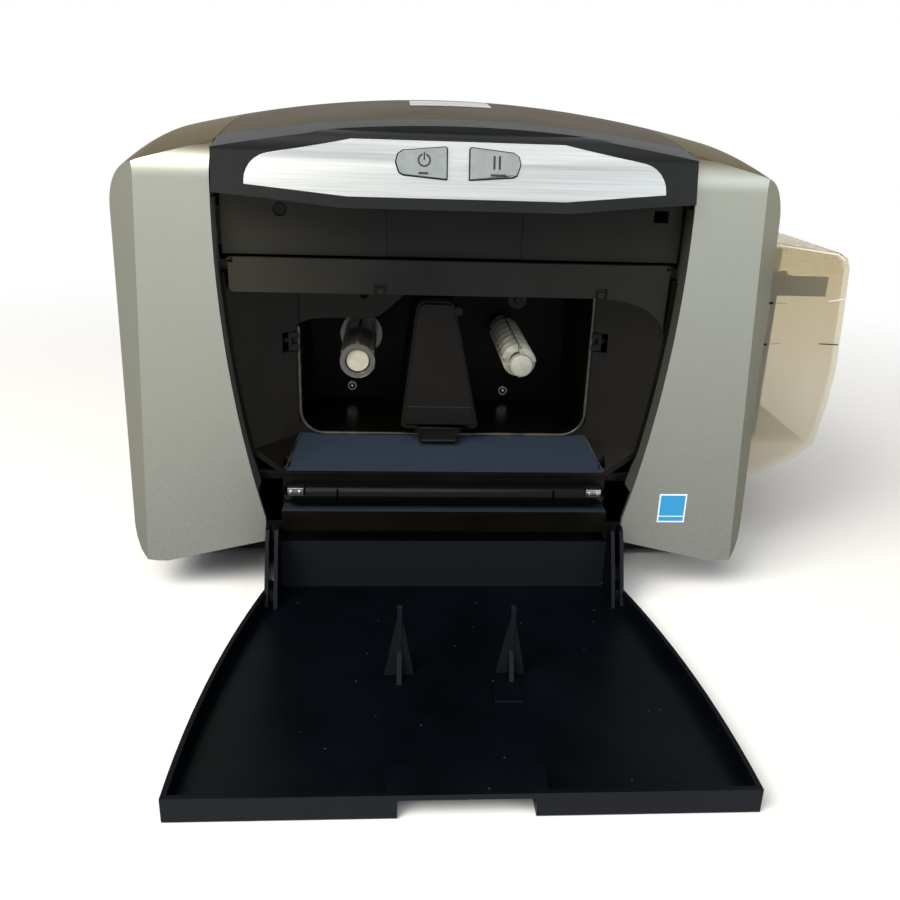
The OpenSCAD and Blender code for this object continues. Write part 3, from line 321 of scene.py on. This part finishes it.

# ---- The black mouldings of the opening ----
# The funnel-shaped bay housing and the lower front frame are smooth mouldings on tabs to the side frames, and
# two catches slide in the housing. A header and a rail cross the opening above, and a round bar crosses it
# below. The power inlet at the back is moulded in the same plastic.

# semi-gloss black ABS: nearly black with a faint painted brown reflection of the room, and a slow ripple; the
# funnel's floor, up to 30 mm behind the front, carries a painted bluish reflection
gloss, tree, shader = surface("semi_gloss_black_abs", "0E0D0C", Roughness=0.25, Specular_IOR_Level=0.12)
where = put(tree, "TexCoord")
flow = put(tree, "TexNoise", {"Scale": 1 / (30 * MM), "Detail": 3.0}, {"Vector": where.outputs["Object"]})
tone = put(tree, "ValToRGB", {"stops": [(0.3, "090806"), (0.75, "12100D")]}, {"Fac": flow.outputs["Fac"]})
funnel_floor = put(tree, "Math", {"operation": "MULTIPLY"},
                   {0: facing(tree, "Z", 0.7, 0.84), 1: along(tree, "Y", 30.5, 29.5)})
painted_blue_reflection = put(tree, "Mix", {"data_type": "RGBA", OVER: colour("262E39")},
           {SHARE: funnel_floor.outputs[0], UNDER: tone.outputs["Color"]})
tree.links.new(painted_blue_reflection.outputs[MIXED], shader.inputs["Base Color"])
matt = put(tree, "MapRange", {"To Min": 0.18, "To Max": 0.32}, {"Value": flow.outputs["Fac"]})
tree.links.new(matt.outputs["Result"], shader.inputs["Roughness"])
bump = put(tree, "Bump", {"Strength": 0.08, "Distance": 0.4 * MM}, {"Height": flow.outputs["Fac"]})
tree.links.new(bump.outputs["Normal"], shader.inputs["Normal"])
for name in ["bay_housing", "left_catch", "right_catch", "front_frame", "power_inlet"]:
    finished(name, gloss, edge=0.3)

# black ABS with painted sheen: the same moulding in a paler black, with a painted brown sheen towards both ends
sheen, tree, shader = surface("black_abs_with_painted_sheen", "1C1D1C", Roughness=0.3, Specular_IOR_Level=0.12)
where = put(tree, "TexCoord")
flow = put(tree, "TexNoise", {"Scale": 1 / (30 * MM), "Detail": 3.0}, {"Vector": where.outputs["Object"]})
tone = put(tree, "ValToRGB", {"stops": [(0.3, "0F1010"), (0.75, "181918")]}, {"Fac": flow.outputs["Fac"]})
painted_sheen_left = put(tree, "Mix", {"data_type": "RGBA", OVER: colour("35332B")},
               {SHARE: along(tree, "X", -30, -110), UNDER: tone.outputs["Color"]})
painted_sheen_ends = put(tree, "Mix", {"data_type": "RGBA", OVER: colour("21211B")},
                {SHARE: along(tree, "X", 30, 110), UNDER: painted_sheen_left.outputs[MIXED]})
tree.links.new(painted_sheen_ends.outputs[MIXED], shader.inputs["Base Color"])
matt = put(tree, "MapRange", {"To Min": 0.25, "To Max": 0.4}, {"Value": flow.outputs["Fac"]})
tree.links.new(matt.outputs["Result"], shader.inputs["Roughness"])
for name in ["header_panel", "upper_rail"]:
    finished(name, sheen, edge=0.3)

# a polished black rod: a sharp, narrow highlight along its length, dulled by finger marks
rod, tree, shader = surface("polished_black_rod", "08090B", Roughness=0.14, Specular_IOR_Level=0.12)
where = put(tree, "TexCoord")
fingered = put(tree, "TexNoise", {"Scale": 1 / (12 * MM), "Detail": 3.0}, {"Vector": where.outputs["Object"]})
matt = put(tree, "MapRange", {"To Min": 0.1, "To Max": 0.22}, {"Value": fingered.outputs["Fac"]})
tree.links.new(matt.outputs["Result"], shader.inputs["Roughness"])
finished("rest_bar", rod, edge=0.5, steps=3)


def tube(name, points, thick, finish, node):
    """A round rod along a line of points, which rides with a CAD piece."""
    path = bpy.data.curves.new(name, "CURVE")
    path.dimensions = "3D"
    path.bevel_depth = thick / 2 * MM
    path.bevel_resolution = 3
    path.use_fill_caps = True
    run = path.splines.new("POLY")
    run.points.add(len(points) - 1)
    for spot, point in zip(run.points, points):
        spot.co = (*at(*point), 1)
    drawn = bpy.data.objects.new(name + "_path", path)
    bpy.context.collection.objects.link(drawn)
    data = bpy.data.meshes.new_from_object(drawn.evaluated_get(bpy.context.evaluated_depsgraph_get()))
    bpy.data.objects.remove(drawn)
    data.materials.clear()
    data.materials.append(finish)
    piece = bpy.data.objects.new(name, data)
    bpy.context.collection.objects.link(piece)
    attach(piece, body_of[node])


# the rolled rim of the cut-out: down its left side, round two corners and up its right side
cut_left, cut_right, cut_foot, corner = -70.3, 69, 71, 11.5
rim_y, rim_thick = 29.6, 1.8
rim = [(cut_left, rim_y, 124)]
for centre_x, first in [(cut_left + corner, 180), (cut_right - corner, 270)]:
    rim += [(centre_x + corner * math.cos(math.radians(first + turn)), rim_y,
             cut_foot + corner + corner * math.sin(math.radians(first + turn))) for turn in range(0, 91, 10)]
rim += [(cut_right, rim_y, 150)]
# painted highlight: a thin, paler brownish black, shinier than the walls it joins, on the rim and the folds
edge_highlight_finish, tree, shader = surface("black_abs_edge_painted_highlight", "2A2823", Roughness=0.25, Specular_IOR_Level=0.4)
where = put(tree, "TexCoord")
highlight_breaks = put(tree, "TexNoise", {"Scale": 1 / (8 * MM), "Detail": 2.0}, {"Vector": where.outputs["Object"]})
tone = put(tree, "ValToRGB", {"stops": [(0.35, "171613"), (0.7, "3A3730")]}, {"Fac": highlight_breaks.outputs["Fac"]})
tree.links.new(tone.outputs["Color"], shader.inputs["Base Color"])
tube("bay_rim", rim, rim_thick, edge_highlight_finish, "bay_housing")
# painted highlights on the folds between the funnel's floor and its side walls, from the cut-out to the front
fold_thick = 1.0
for name, inner_x, outer_x in [("left_fold", -70.8, -76.2), ("right_fold", 69.5, 76.2)]:
    tube("bay_" + name, [(inner_x, 29.8, 71.2), (outer_x, 9.9, 59.3)], fold_thick, edge_highlight_finish, "bay_housing")

# ---- The bay's back wall, the pan and the steel frames ----
# Folded sheet steel: the pan and the back wall are painted dark, the side frames and the bridge are zinc
# plated. They are slotted and screwed together, and carry everything else.

# baked powder paint: a dead black with a fine orange-peel, drawn at 0.8 mm
dark_steel, tree, shader = surface("dark_powder_paint_on_steel", "050506", Roughness=0.55,
                                   Specular_IOR_Level=0.15)
where = put(tree, "TexCoord")
pits = put(tree, "TexNoise", {"Scale": 1 / (0.8 * MM), "Detail": 2.0}, {"Vector": where.outputs["Object"]})
tone = put(tree, "ValToRGB", {"stops": [(0.3, "030304"), (0.8, "08080A")]}, {"Fac": pits.outputs["Fac"]})
tree.links.new(tone.outputs["Color"], shader.inputs["Base Color"])
bump = put(tree, "Bump", {"Strength": 0.3, "Distance": 0.08 * MM}, {"Height": pits.outputs["Fac"]})
tree.links.new(bump.outputs["Normal"], shader.inputs["Normal"])
for name in ["chassis_plate", "base_pan"]:
    finished(name, dark_steel, edge=0.3)

# zinc plate: a cool grey metal in crystal patches of about 6 mm
zinc, tree, shader = surface("zinc_plated_steel", "8F9294", Metallic=1.0, Roughness=0.4)
where = put(tree, "TexCoord")
spangle = put(tree, "TexVoronoi", {"Scale": 1 / (6 * MM)}, {"Vector": where.outputs["Object"]})
tone = put(tree, "ValToRGB", {"stops": [(0.0, "7E8284"), (1.0, "A2A5A6")]},
           {"Fac": spangle.outputs["Distance"]})
tree.links.new(tone.outputs["Color"], shader.inputs["Base Color"])
for name in ["left_frame", "right_frame", "top_bridge"]:
    finished(name, zinc, edge=0.2)

# ---- Bright steel and brass ----
# Pins, shafts, screws, contacts and the shell of the data socket are bright steel, turned or stamped; the
# motor's small pulley is turned brass, pressed on its shaft.

# bright turned steel: a clear mirror of the room with slightly duller patches; what lies over 140 mm, the
# header's screw and the rail's pins, is coloured nearly black
steel, tree, shader = surface("bright_turned_steel", "C9CACB", Metallic=1.0, Roughness=0.22)
where = put(tree, "TexCoord")
bare = put(tree, "ValToRGB", {"stops": [(0.0, "C9CACB"), (1.0, "1E1D1C")]}, {"Fac": along(tree, "Z", 140, 141)})
tree.links.new(bare.outputs["Color"], shader.inputs["Base Color"])
turned = put(tree, "TexNoise", {"Scale": 1 / (2 * MM)}, {"Vector": where.outputs["Object"]})
matt = put(tree, "MapRange", {"To Min": 0.18, "To Max": 0.3}, {"Value": turned.outputs["Fac"]})
tree.links.new(matt.outputs["Result"], shader.inputs["Roughness"])
for name in ["rail_pins", "bay_screws", "bar_contacts", "hinge_pins", "platen_shaft", "hopper_pin",
             "data_socket"]:
    finished(name, steel, edge=0.12)

# turned brass: a warm yellow metal with darker, tarnished spots
brass, tree, shader = surface("turned_brass", "B8934A", Metallic=1.0, Roughness=0.3)
where = put(tree, "TexCoord")
tarnish = put(tree, "TexNoise", {"Scale": 1 / (3 * MM)}, {"Vector": where.outputs["Object"]})
tone = put(tree, "ValToRGB", {"stops": [(0.3, "A8843F"), (0.8, "C9A45C")]}, {"Fac": tarnish.outputs["Fac"]})
tree.links.new(tone.outputs["Color"], shader.inputs["Base Color"])
finished("motor_pinion", brass, edge=0.15)

# ---- The two ribbon spindles ----
# The take-up spindle is a moulded sleeve with six fins over an ivory core. The supply spindle is moulded in
# nylon, with barbs in staggered rings that grip the cardboard core of a ribbon. Each turns on a shaft through
# the bay's back wall.

# smoke-tinted acrylic: a clear grey-brown, through which the core shows
smoke, tree, shader = surface("smoke_tinted_acrylic", "8A877F", Roughness=0.12, Transmission_Weight=0.75,
                              IOR=1.49)
where = put(tree, "TexCoord")
haze = put(tree, "TexNoise", {"Scale": 1 / (5 * MM)}, {"Vector": where.outputs["Object"]})
matt = put(tree, "MapRange", {"To Min": 0.08, "To Max": 0.2}, {"Value": haze.outputs["Fac"]})
tree.links.new(matt.outputs["Result"], shader.inputs["Roughness"])
finished("takeup_spindle", smoke, edge=0.25)

# ivory acetal: a waxy, creamy white with faint marks of handling
ivory, tree, shader = surface("ivory_acetal", "B5B3A2", Roughness=0.4)
where = put(tree, "TexCoord")
handled = put(tree, "TexNoise", {"Scale": 1 / (3 * MM), "Detail": 3.0}, {"Vector": where.outputs["Object"]})
tone = put(tree, "ValToRGB", {"stops": [(0.3, "ABA896"), (0.75, "C0BEAE")]}, {"Fac": handled.outputs["Fac"]})
tree.links.new(tone.outputs["Color"], shader.inputs["Base Color"])
finished("takeup_core", ivory, edge=0.5, steps=3)

# white nylon: a slightly see-through, greyish white with a soft shine
nylon, tree, shader = surface("white_nylon", "A5A596", Roughness=0.35, Transmission_Weight=0.3, IOR=1.5)
where = put(tree, "TexCoord")
veined = put(tree, "TexNoise", {"Scale": 1 / (4 * MM), "Detail": 2.0}, {"Vector": where.outputs["Object"]})
tone = put(tree, "ValToRGB", {"stops": [(0.3, "A8A89A"), (0.75, "C2C2B4")]}, {"Fac": veined.outputs["Fac"]})
tree.links.new(tone.outputs["Color"], shader.inputs["Base Color"])
for name in ["supply_gear", "takeup_gear", "platen_pulley"]:
    finished(name, nylon, edge=0.2)


def turned_form(profile, first=0, last=360, steps=48):
    """A form turned about Y from the angle first to last; profile is a loop of (radius, depth) in mm."""
    welded, sharp = 0.001 * MM, math.radians(35)
    mesh = bmesh.new()
    whole = last - first == 360
    angles = [math.radians(first + (last - first) * i / steps) for i in range(steps + (not whole))]
    rings = [[mesh.verts.new((r * MM * math.cos(a), y * MM, r * MM * math.sin(a))) for r, y in profile]
             for a in angles]
    for i in range(steps):
        ring, after = rings[i], rings[(i + 1) % len(rings)]
        for k in range(len(profile)):
            m = (k + 1) % len(profile)
            mesh.faces.new((ring[k], ring[m], after[m], after[k]))
    if not whole:
        mesh.faces.new(rings[0])
        mesh.faces.new(reversed(rings[-1]))
    bmesh.ops.remove_doubles(mesh, verts=mesh.verts, dist=welded)
    bmesh.ops.dissolve_degenerate(mesh, edges=mesh.edges, dist=welded)
    bmesh.ops.recalc_face_normals(mesh, faces=mesh.faces)
    data = bpy.data.meshes.new("turned")
    mesh.to_mesh(data)
    mesh.free()
    data.shade_smooth()
    data.set_sharp_from_angle(angle=sharp)
    return data


def repeated(name, seed, finish, node, count, step, turn, place):
    """Copies of a seed form on a Geometry Nodes rule: each next one lies a step further, turned about Y."""
    rule = bpy.data.node_groups.new(name + "_rule", "GeometryNodeTree")
    given = {"Seed": ("Geometry", None), "Count": ("Int", count), "Step": ("Vector", [v * MM for v in step]),
             "Turn": ("Float", math.radians(turn)), "Place": ("Vector", at(*place)),
             "Finish": ("Material", finish)}
    ids = {key: rule.interface.new_socket(key, in_out="INPUT", socket_type="NodeSocket" + kind).identifier
           for key, (kind, value) in given.items()}
    rule.interface.new_socket("Form", in_out="OUTPUT", socket_type="NodeSocketGeometry")
    source = put(rule, "NodeGroupInput")
    line = put(rule, "GeometryNodeMeshLine", {"mode": "OFFSET"},
               {"Count": source.outputs["Count"], "Offset": source.outputs["Step"]})
    angle = put(rule, "Math", {"operation": "MULTIPLY"},
                {0: put(rule, "GeometryNodeInputIndex").outputs[0], 1: source.outputs["Turn"]})
    about_y = put(rule, "CombineXYZ", links={"Y": angle.outputs[0]})
    turning = put(rule, "FunctionNodeEulerToRotation", links={0: about_y.outputs[0]})
    copies = put(rule, "GeometryNodeInstanceOnPoints",
                 links={"Points": line.outputs[0], "Instance": source.outputs["Seed"],
                        "Rotation": turning.outputs[0]})
    real = put(rule, "GeometryNodeRealizeInstances", links={0: copies.outputs[0]})
    moved = put(rule, "GeometryNodeTransform",
                links={0: real.outputs[0], "Translation": source.outputs["Place"]})
    dressed = put(rule, "GeometryNodeSetMaterial",
                  links={0: moved.outputs[0], "Material": source.outputs["Finish"]})
    put(rule, "NodeGroupOutput", links={0: dressed.outputs[0]})
    piece = bpy.data.objects.new(name, seed)
    bpy.context.collection.objects.link(piece)
    pattern = piece.modifiers.new("pattern", "NODES")
    pattern.node_group = rule
    for key, (kind, value) in given.items():
        if value is not None:
            pattern[ids[key]] = value
    formed = bpy.data.meshes.new_from_object(piece.evaluated_get(bpy.context.evaluated_depsgraph_get()))
    piece.modifiers.clear()
    piece.data = formed
    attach(piece, body_of[node])
    return piece


# the supply spindle: a rounded tip on a thin stem, on which four rows of barbs run round in a slow helix
# between four thin ribs
low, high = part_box("supply_spindle")
axis_x, axis_z = ((low.x + high.x) / 2 - middle_x) / MM, (low.z + high.z) / 2 / MM
nose, heel = (low.y - front_y) / MM, (high.y - front_y) / MM
stem_r, root_r, barb_r, rib_r = 4.3, 4.1, 7.7, 6.9
rib_start, stem_start, barb_start = nose + 3, nose + 4, nose + 4.5
in_place = (0, 0, 0)
tip = turned_form([(0, 0), (4.2, 0), (5.0, 0.5), (5.3, 1.3), (5.3, 4.2), (0, 4.2)])
spindle = repeated("supply_spindle_tip", tip, nylon, "supply_spindle", 1, in_place, 0, (axis_x, nose, axis_z))
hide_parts("supply_spindle")
# nylon in the shade between the barbs: so little light reaches it that it looks dark brown
shaded, tree, shader = surface("shaded_nylon_core", "2C2B27", Roughness=0.5)
where = put(tree, "TexCoord")
murky = put(tree, "TexNoise", {"Scale": 1 / (4 * MM), "Detail": 2.0}, {"Vector": where.outputs["Object"]})
tone = put(tree, "ValToRGB", {"stops": [(0.3, "23221E"), (0.75, "37352F")]}, {"Fac": murky.outputs["Fac"]})
tree.links.new(tone.outputs["Color"], shader.inputs["Base Color"])
stem_long = heel - stem_start
stem = turned_form([(0, 0), (stem_r, 0), (stem_r, stem_long), (0, stem_long)])
repeated("supply_spindle_stem", stem, shaded, "supply_spindle", 1, in_place, 0, (axis_x, stem_start, axis_z))
barb = turned_form([(root_r, 0), (6.9, 1.2), (barb_r, 2.0), (barb_r, 2.9), (6.7, 2.5), (root_r, 1.3)],
                   first=5, last=85, steps=14)
barb_count, barb_step = 32, (0, 2.2, 0)
repeated("supply_spindle_barbs", barb, nylon, "supply_spindle", barb_count, barb_step, 90,
         (axis_x, barb_start, axis_z))
rib_long = 74
rib = turned_form([(root_r, 0), (5.2, 0), (rib_r, 2.4), (rib_r, rib_long), (root_r, rib_long)],
                  first=-4, last=4, steps=2)
repeated("supply_spindle_ribs", rib, nylon, "supply_spindle", 4, in_place, 90, (axis_x, rib_start, axis_z))

# the domed heads of the two screws in the bay's back wall
dome = turned_form([(0, 0), (0.9, 0.15), (1.5, 0.7), (1.7, 1.6), (0, 1.6)], steps=24)
left_screw, to_right_screw = (-48.5, 98.2, 73.8), (85.1, 0, -1.8)
repeated("bay_screw_heads", dome, steel, "bay_screws", 2, to_right_screw, 0, left_screw)

# ---- The printhead tower ----
# A tapering black moulding stands in the middle of the bay over the printhead, behind a cover with a raised
# band, and a release tab slides at its foot. The printhead's carrier is milled aluminium.
for name in ["printhead_tower", "tower_cover"]:
    finished(name, gloss, edge=0.5, steps=3)
for name in ["release_tab", "guide_wheel"]:
    finished(name, gloss, edge=0.3)

# machined aluminium: a grey metal, duller in short milled patches
cast, tree, shader = surface("machined_aluminium", "9A9C9E", Metallic=1.0, Roughness=0.35)
where = put(tree, "TexCoord")
milled = put(tree, "TexNoise", {"Scale": 1 / (1.5 * MM)}, {"Vector": where.outputs["Object"]})
matt = put(tree, "MapRange", {"To Min": 0.28, "To Max": 0.45}, {"Value": milled.outputs["Fac"]})
tree.links.new(matt.outputs["Result"], shader.inputs["Roughness"])
finished("printhead", cast, edge=0.2)

# ---- The front door ----
# One black moulding from a polished mould, with a rim on three sides, a finger recess, two guide posts with
# ribs, and two pairs of ears that turn on steel pins.

# polished black ABS: a deep blue-black floor with smears and single specks of dust, while the faces towards
# the front, such as the rim and the flange, carry painted light and are paler
door_black, tree, shader = surface("polished_black_abs", "08090B", Roughness=0.3, Specular_IOR_Level=0.06)
where = put(tree, "TexCoord")
smears = put(tree, "TexNoise", {"Scale": 1 / (55 * MM), "Detail": 4.0, "Roughness": 0.6},
             {"Vector": where.outputs["Object"]})
tone = put(tree, "ValToRGB", {"stops": [(0.35, "030508"), (0.8, "080B11")]}, {"Fac": smears.outputs["Fac"]})
specks = put(tree, "TexVoronoi", {"Scale": 1 / (9 * MM)}, {"Vector": where.outputs["Object"]})
dots = put(tree, "MapRange", {"From Min": 0.035, "From Max": 0.05, "To Min": 1.0, "To Max": 0.0},
           {"Value": specks.outputs["Distance"]})
dusty = put(tree, "Mix", {"data_type": "RGBA", OVER: colour("34383A")},
            {SHARE: dots.outputs["Result"], UNDER: tone.outputs["Color"]})
paler = put(tree, "Mix", {"data_type": "RGBA", OVER: colour("191B20")},
            {SHARE: facing(tree, "Y", -0.6, -0.9), UNDER: dusty.outputs[MIXED]})
tree.links.new(paler.outputs[MIXED], shader.inputs["Base Color"])
matt = put(tree, "MapRange", {"To Min": 0.24, "To Max": 0.42}, {"Value": smears.outputs["Fac"]})
tree.links.new(matt.outputs["Result"], shader.inputs["Roughness"])
finished("front_door", door_black, edge=0.5, steps=3)

# ---- Rubber and the drive ----
# The platen and the feed rollers are rubber sleeves on steel, ground round; the feet and the belt are moulded
# rubber. The motor stands on four pillars behind the bay's back wall, in a painted can.

# ground rubber: black and without shine, with a fine tooth drawn at 0.6 mm
rubber, tree, shader = surface("black_rubber", "111111", Roughness=0.75)
where = put(tree, "TexCoord")
ground = put(tree, "TexNoise", {"Scale": 1 / (0.6 * MM), "Detail": 2.0}, {"Vector": where.outputs["Object"]})
tone = put(tree, "ValToRGB", {"stops": [(0.3, "0D0D0D"), (0.8, "1A1A1A")]}, {"Fac": ground.outputs["Fac"]})
tree.links.new(tone.outputs["Color"], shader.inputs["Base Color"])
bump = put(tree, "Bump", {"Strength": 0.3, "Distance": 0.06 * MM}, {"Height": ground.outputs["Fac"]})
tree.links.new(bump.outputs["Normal"], shader.inputs["Normal"])
for name in ["platen_roller", "left_feed_roller", "right_feed_roller", "drive_belt"]:
    finished(name, rubber, edge=0.2)
finished("feet", rubber, edge=0.8, steps=3)

# sprayed motor paint: a flat dark grey with a faint speckle
can, tree, shader = surface("grey_motor_paint", "3A3B3E", Roughness=0.45)
where = put(tree, "TexCoord")
sprayed = put(tree, "TexNoise", {"Scale": 1 / (1.2 * MM)}, {"Vector": where.outputs["Object"]})
tone = put(tree, "ValToRGB", {"stops": [(0.3, "333437"), (0.8, "424346")]}, {"Fac": sprayed.outputs["Fac"]})
tree.links.new(tone.outputs["Color"], shader.inputs["Base Color"])
finished("drive_motor", can, edge=0.8)

# ---- The circuit boards ----
# Green fibreglass boards: a long one on pillars before the rear cover, and a small one on hooks in the fascia,
# which carries the keys' switches.

# solder mask over copper: a glossy green, lighter along the tracks
board, tree, shader = surface("green_solder_mask", "1C5A38", Roughness=0.3)
where = put(tree, "TexCoord")
tracks = put(tree, "TexBrick", {"Scale": 1 / (14 * MM), "Mortar Size": 0.04, "Color1": colour("1A5434"),
                                "Color2": colour("21633F"), "Mortar": colour("3B7F55")},
             {"Vector": where.outputs["Object"]})
tree.links.new(tracks.outputs["Color"], shader.inputs["Base Color"])
for name in ["main_board", "button_board"]:
    finished(name, board, edge=0.1)

# ---- The card hopper ----
# A thin, vacuum-formed cover of translucent plastic, hinged at its foot, over a beige floor and guide walls.
# The black weight slides down the guide wall; the cover's cuts and grooves are laid on as rods, and so are the
# painted highlights on its bright edges.

# smoky translucent styrene: a warm, milky beige, deeper towards the top, with a thin glossy skin
smoky, tree, shader = surface("smoky_translucent_styrene", "E6DFCC", Roughness=0.25,
                              Transmission_Weight=0.88, IOR=1.02, Coat_Weight=0.35, Coat_Roughness=0.2)
where = put(tree, "TexCoord")
cloudy = put(tree, "TexNoise", {"Scale": 1 / (40 * MM), "Detail": 2.0}, {"Vector": where.outputs["Object"]})
tone = put(tree, "ValToRGB", {"stops": [(0.3, "E4DECF"), (0.75, "ECE7DB")]}, {"Fac": cloudy.outputs["Fac"]})
deeper = put(tree, "Mix", {"data_type": "RGBA", OVER: colour("DCD2B8")},
             {SHARE: along(tree, "Z", 90, 160), UNDER: tone.outputs["Color"]})
tree.links.new(deeper.outputs[MIXED], shader.inputs["Base Color"])
matt = put(tree, "MapRange", {"To Min": 0.22, "To Max": 0.34}, {"Value": cloudy.outputs["Fac"]})
tree.links.new(matt.outputs["Result"], shader.inputs["Roughness"])
finished("hopper_cover", smoky, edge=0)
finished("card_weight", black, edge=0.4)

# opaque beige styrene: a dull, even tan, which warms what shows through the cover
tray, tree, shader = surface("opaque_beige_styrene", "A39A84", Roughness=0.5)
where = put(tree, "TexCoord")
dull = put(tree, "TexNoise", {"Scale": 1 / (20 * MM), "Detail": 2.0}, {"Vector": where.outputs["Object"]})
tone = put(tree, "ValToRGB", {"stops": [(0.3, "9A917B"), (0.75, "ADA48E")]}, {"Fac": dull.outputs["Fac"]})
tree.links.new(tone.outputs["Color"], shader.inputs["Base Color"])
finished("hopper_base", tray, edge=0.4)

# painted highlight: the cut edge of the same sheet, coloured creamy white for the light it gathers
milky, tree, shader = surface("styrene_edge_painted_highlight", "F1EAD6", Roughness=0.3, Specular_IOR_Level=0.5)
where = put(tree, "TexCoord")
streaks = put(tree, "TexNoise", {"Scale": 1 / (10 * MM)}, {"Vector": where.outputs["Object"]})
tone = put(tree, "ValToRGB", {"stops": [(0.3, "E9E0C8"), (0.75, "F8F3E6")]}, {"Fac": streaks.outputs["Fac"]})
tree.links.new(tone.outputs["Color"], shader.inputs["Base Color"])

# the rods lie on the cover's front wall: painted highlights along its sloped top edge and beside it, and
# rods where its slits and grooves run
low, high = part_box("hopper_cover")
near, far_x, top_z = (low.y - front_y) / MM + 0.2, (high.x - middle_x) / MM, high.z / MM
tube("hopper_top_edge", [(far_x - 46, near, top_z - 1.5), (far_x - 42, near, top_z - 1.8),
                         (far_x - 9.6, near, top_z - 5.7), (far_x - 5.6, near, top_z - 8.4)],
     0.9, milky, "hopper_cover")
for name, finish, left, left_z, right, right_z, thick in [
        ("upper_glint", milky, -10, 138.4, -2, 139.9, 0.7), ("upper_slit", black, -44, 137.2, -38, 137.1, 1.2),
        ("upper_groove", tray, -38, 137.1, -31, 136.9, 0.5), ("lower_slit", black, -44, 116.2, -38, 116.4, 1.2),
        ("lower_groove", tray, -38, 116.4, -31, 117.2, 0.5), ("far_slit", black, -11, 117.1, -1.2, 116.8, 0.6)]:
    tube("hopper_" + name, [(far_x + left, near, left_z), (far_x + right, near, right_z)], thick, finish,
         "hopper_cover")
# a black guide strip stands inside the cover, beside the printer's wall
inside, strip_x, strip_foot, strip_thick = near + 3.3, 161.6, 68, 2.4
tube("hopper_guide_strip", [(165.5, inside, 151.4), (163.5, inside, 151.2), (162, inside, 150),
                            (strip_x, inside, 147.5), (strip_x, inside, strip_foot)],
     strip_thick, black, "hopper_base")

# ---- The plain label ----
# A vinyl sticker, stuck flat on the lower corner of the right panel: blue, with a white border and one white
# line.

# printed vinyl: flat, clean colour with a soft shine
label, tree, shader = surface("printed_vinyl_label", "2A86C8", Roughness=0.4)
low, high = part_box("side_label")
centre = (low + high) / 2
border, line_z, line_half = 0.7 * MM, -4.2 * MM, 0.25 * MM
where = put(tree, "TexCoord")
local = put(tree, "Mapping", {"vector_type": "POINT", "Location": (-centre.x, -centre.y, -centre.z)},
            {"Vector": where.outputs["Object"]})
parts = put(tree, "SeparateXYZ", links={"Vector": local.outputs["Vector"]})
across = put(tree, "Math", {"operation": "ABSOLUTE"}, {0: parts.outputs["X"]})
upward = put(tree, "Math", {"operation": "ABSOLUTE"}, {0: parts.outputs["Z"]})
inside_x = put(tree, "Math", {"operation": "LESS_THAN", 1: (high.x - low.x) / 2 - border},
               {0: across.outputs[0]})
inside_z = put(tree, "Math", {"operation": "LESS_THAN", 1: (high.z - low.z) / 2 - border},
               {0: upward.outputs[0]})
line = put(tree, "Math", {"operation": "COMPARE", 1: line_z, 2: line_half}, {0: parts.outputs["Z"]})
field = put(tree, "Math", {"operation": "MULTIPLY"}, {0: inside_x.outputs[0], 1: inside_z.outputs[0]})
blue = put(tree, "Math", {"operation": "SUBTRACT", "use_clamp": True},
           {0: field.outputs[0], 1: line.outputs[0]})
tone = put(tree, "ValToRGB", {"stops": [(0.0, "E8EEF2"), (1.0, "1F93CB")]}, {"Fac": blue.outputs[0]})
tree.links.new(tone.outputs["Color"], shader.inputs["Base Color"])
finished("side_label", label, edge=0)
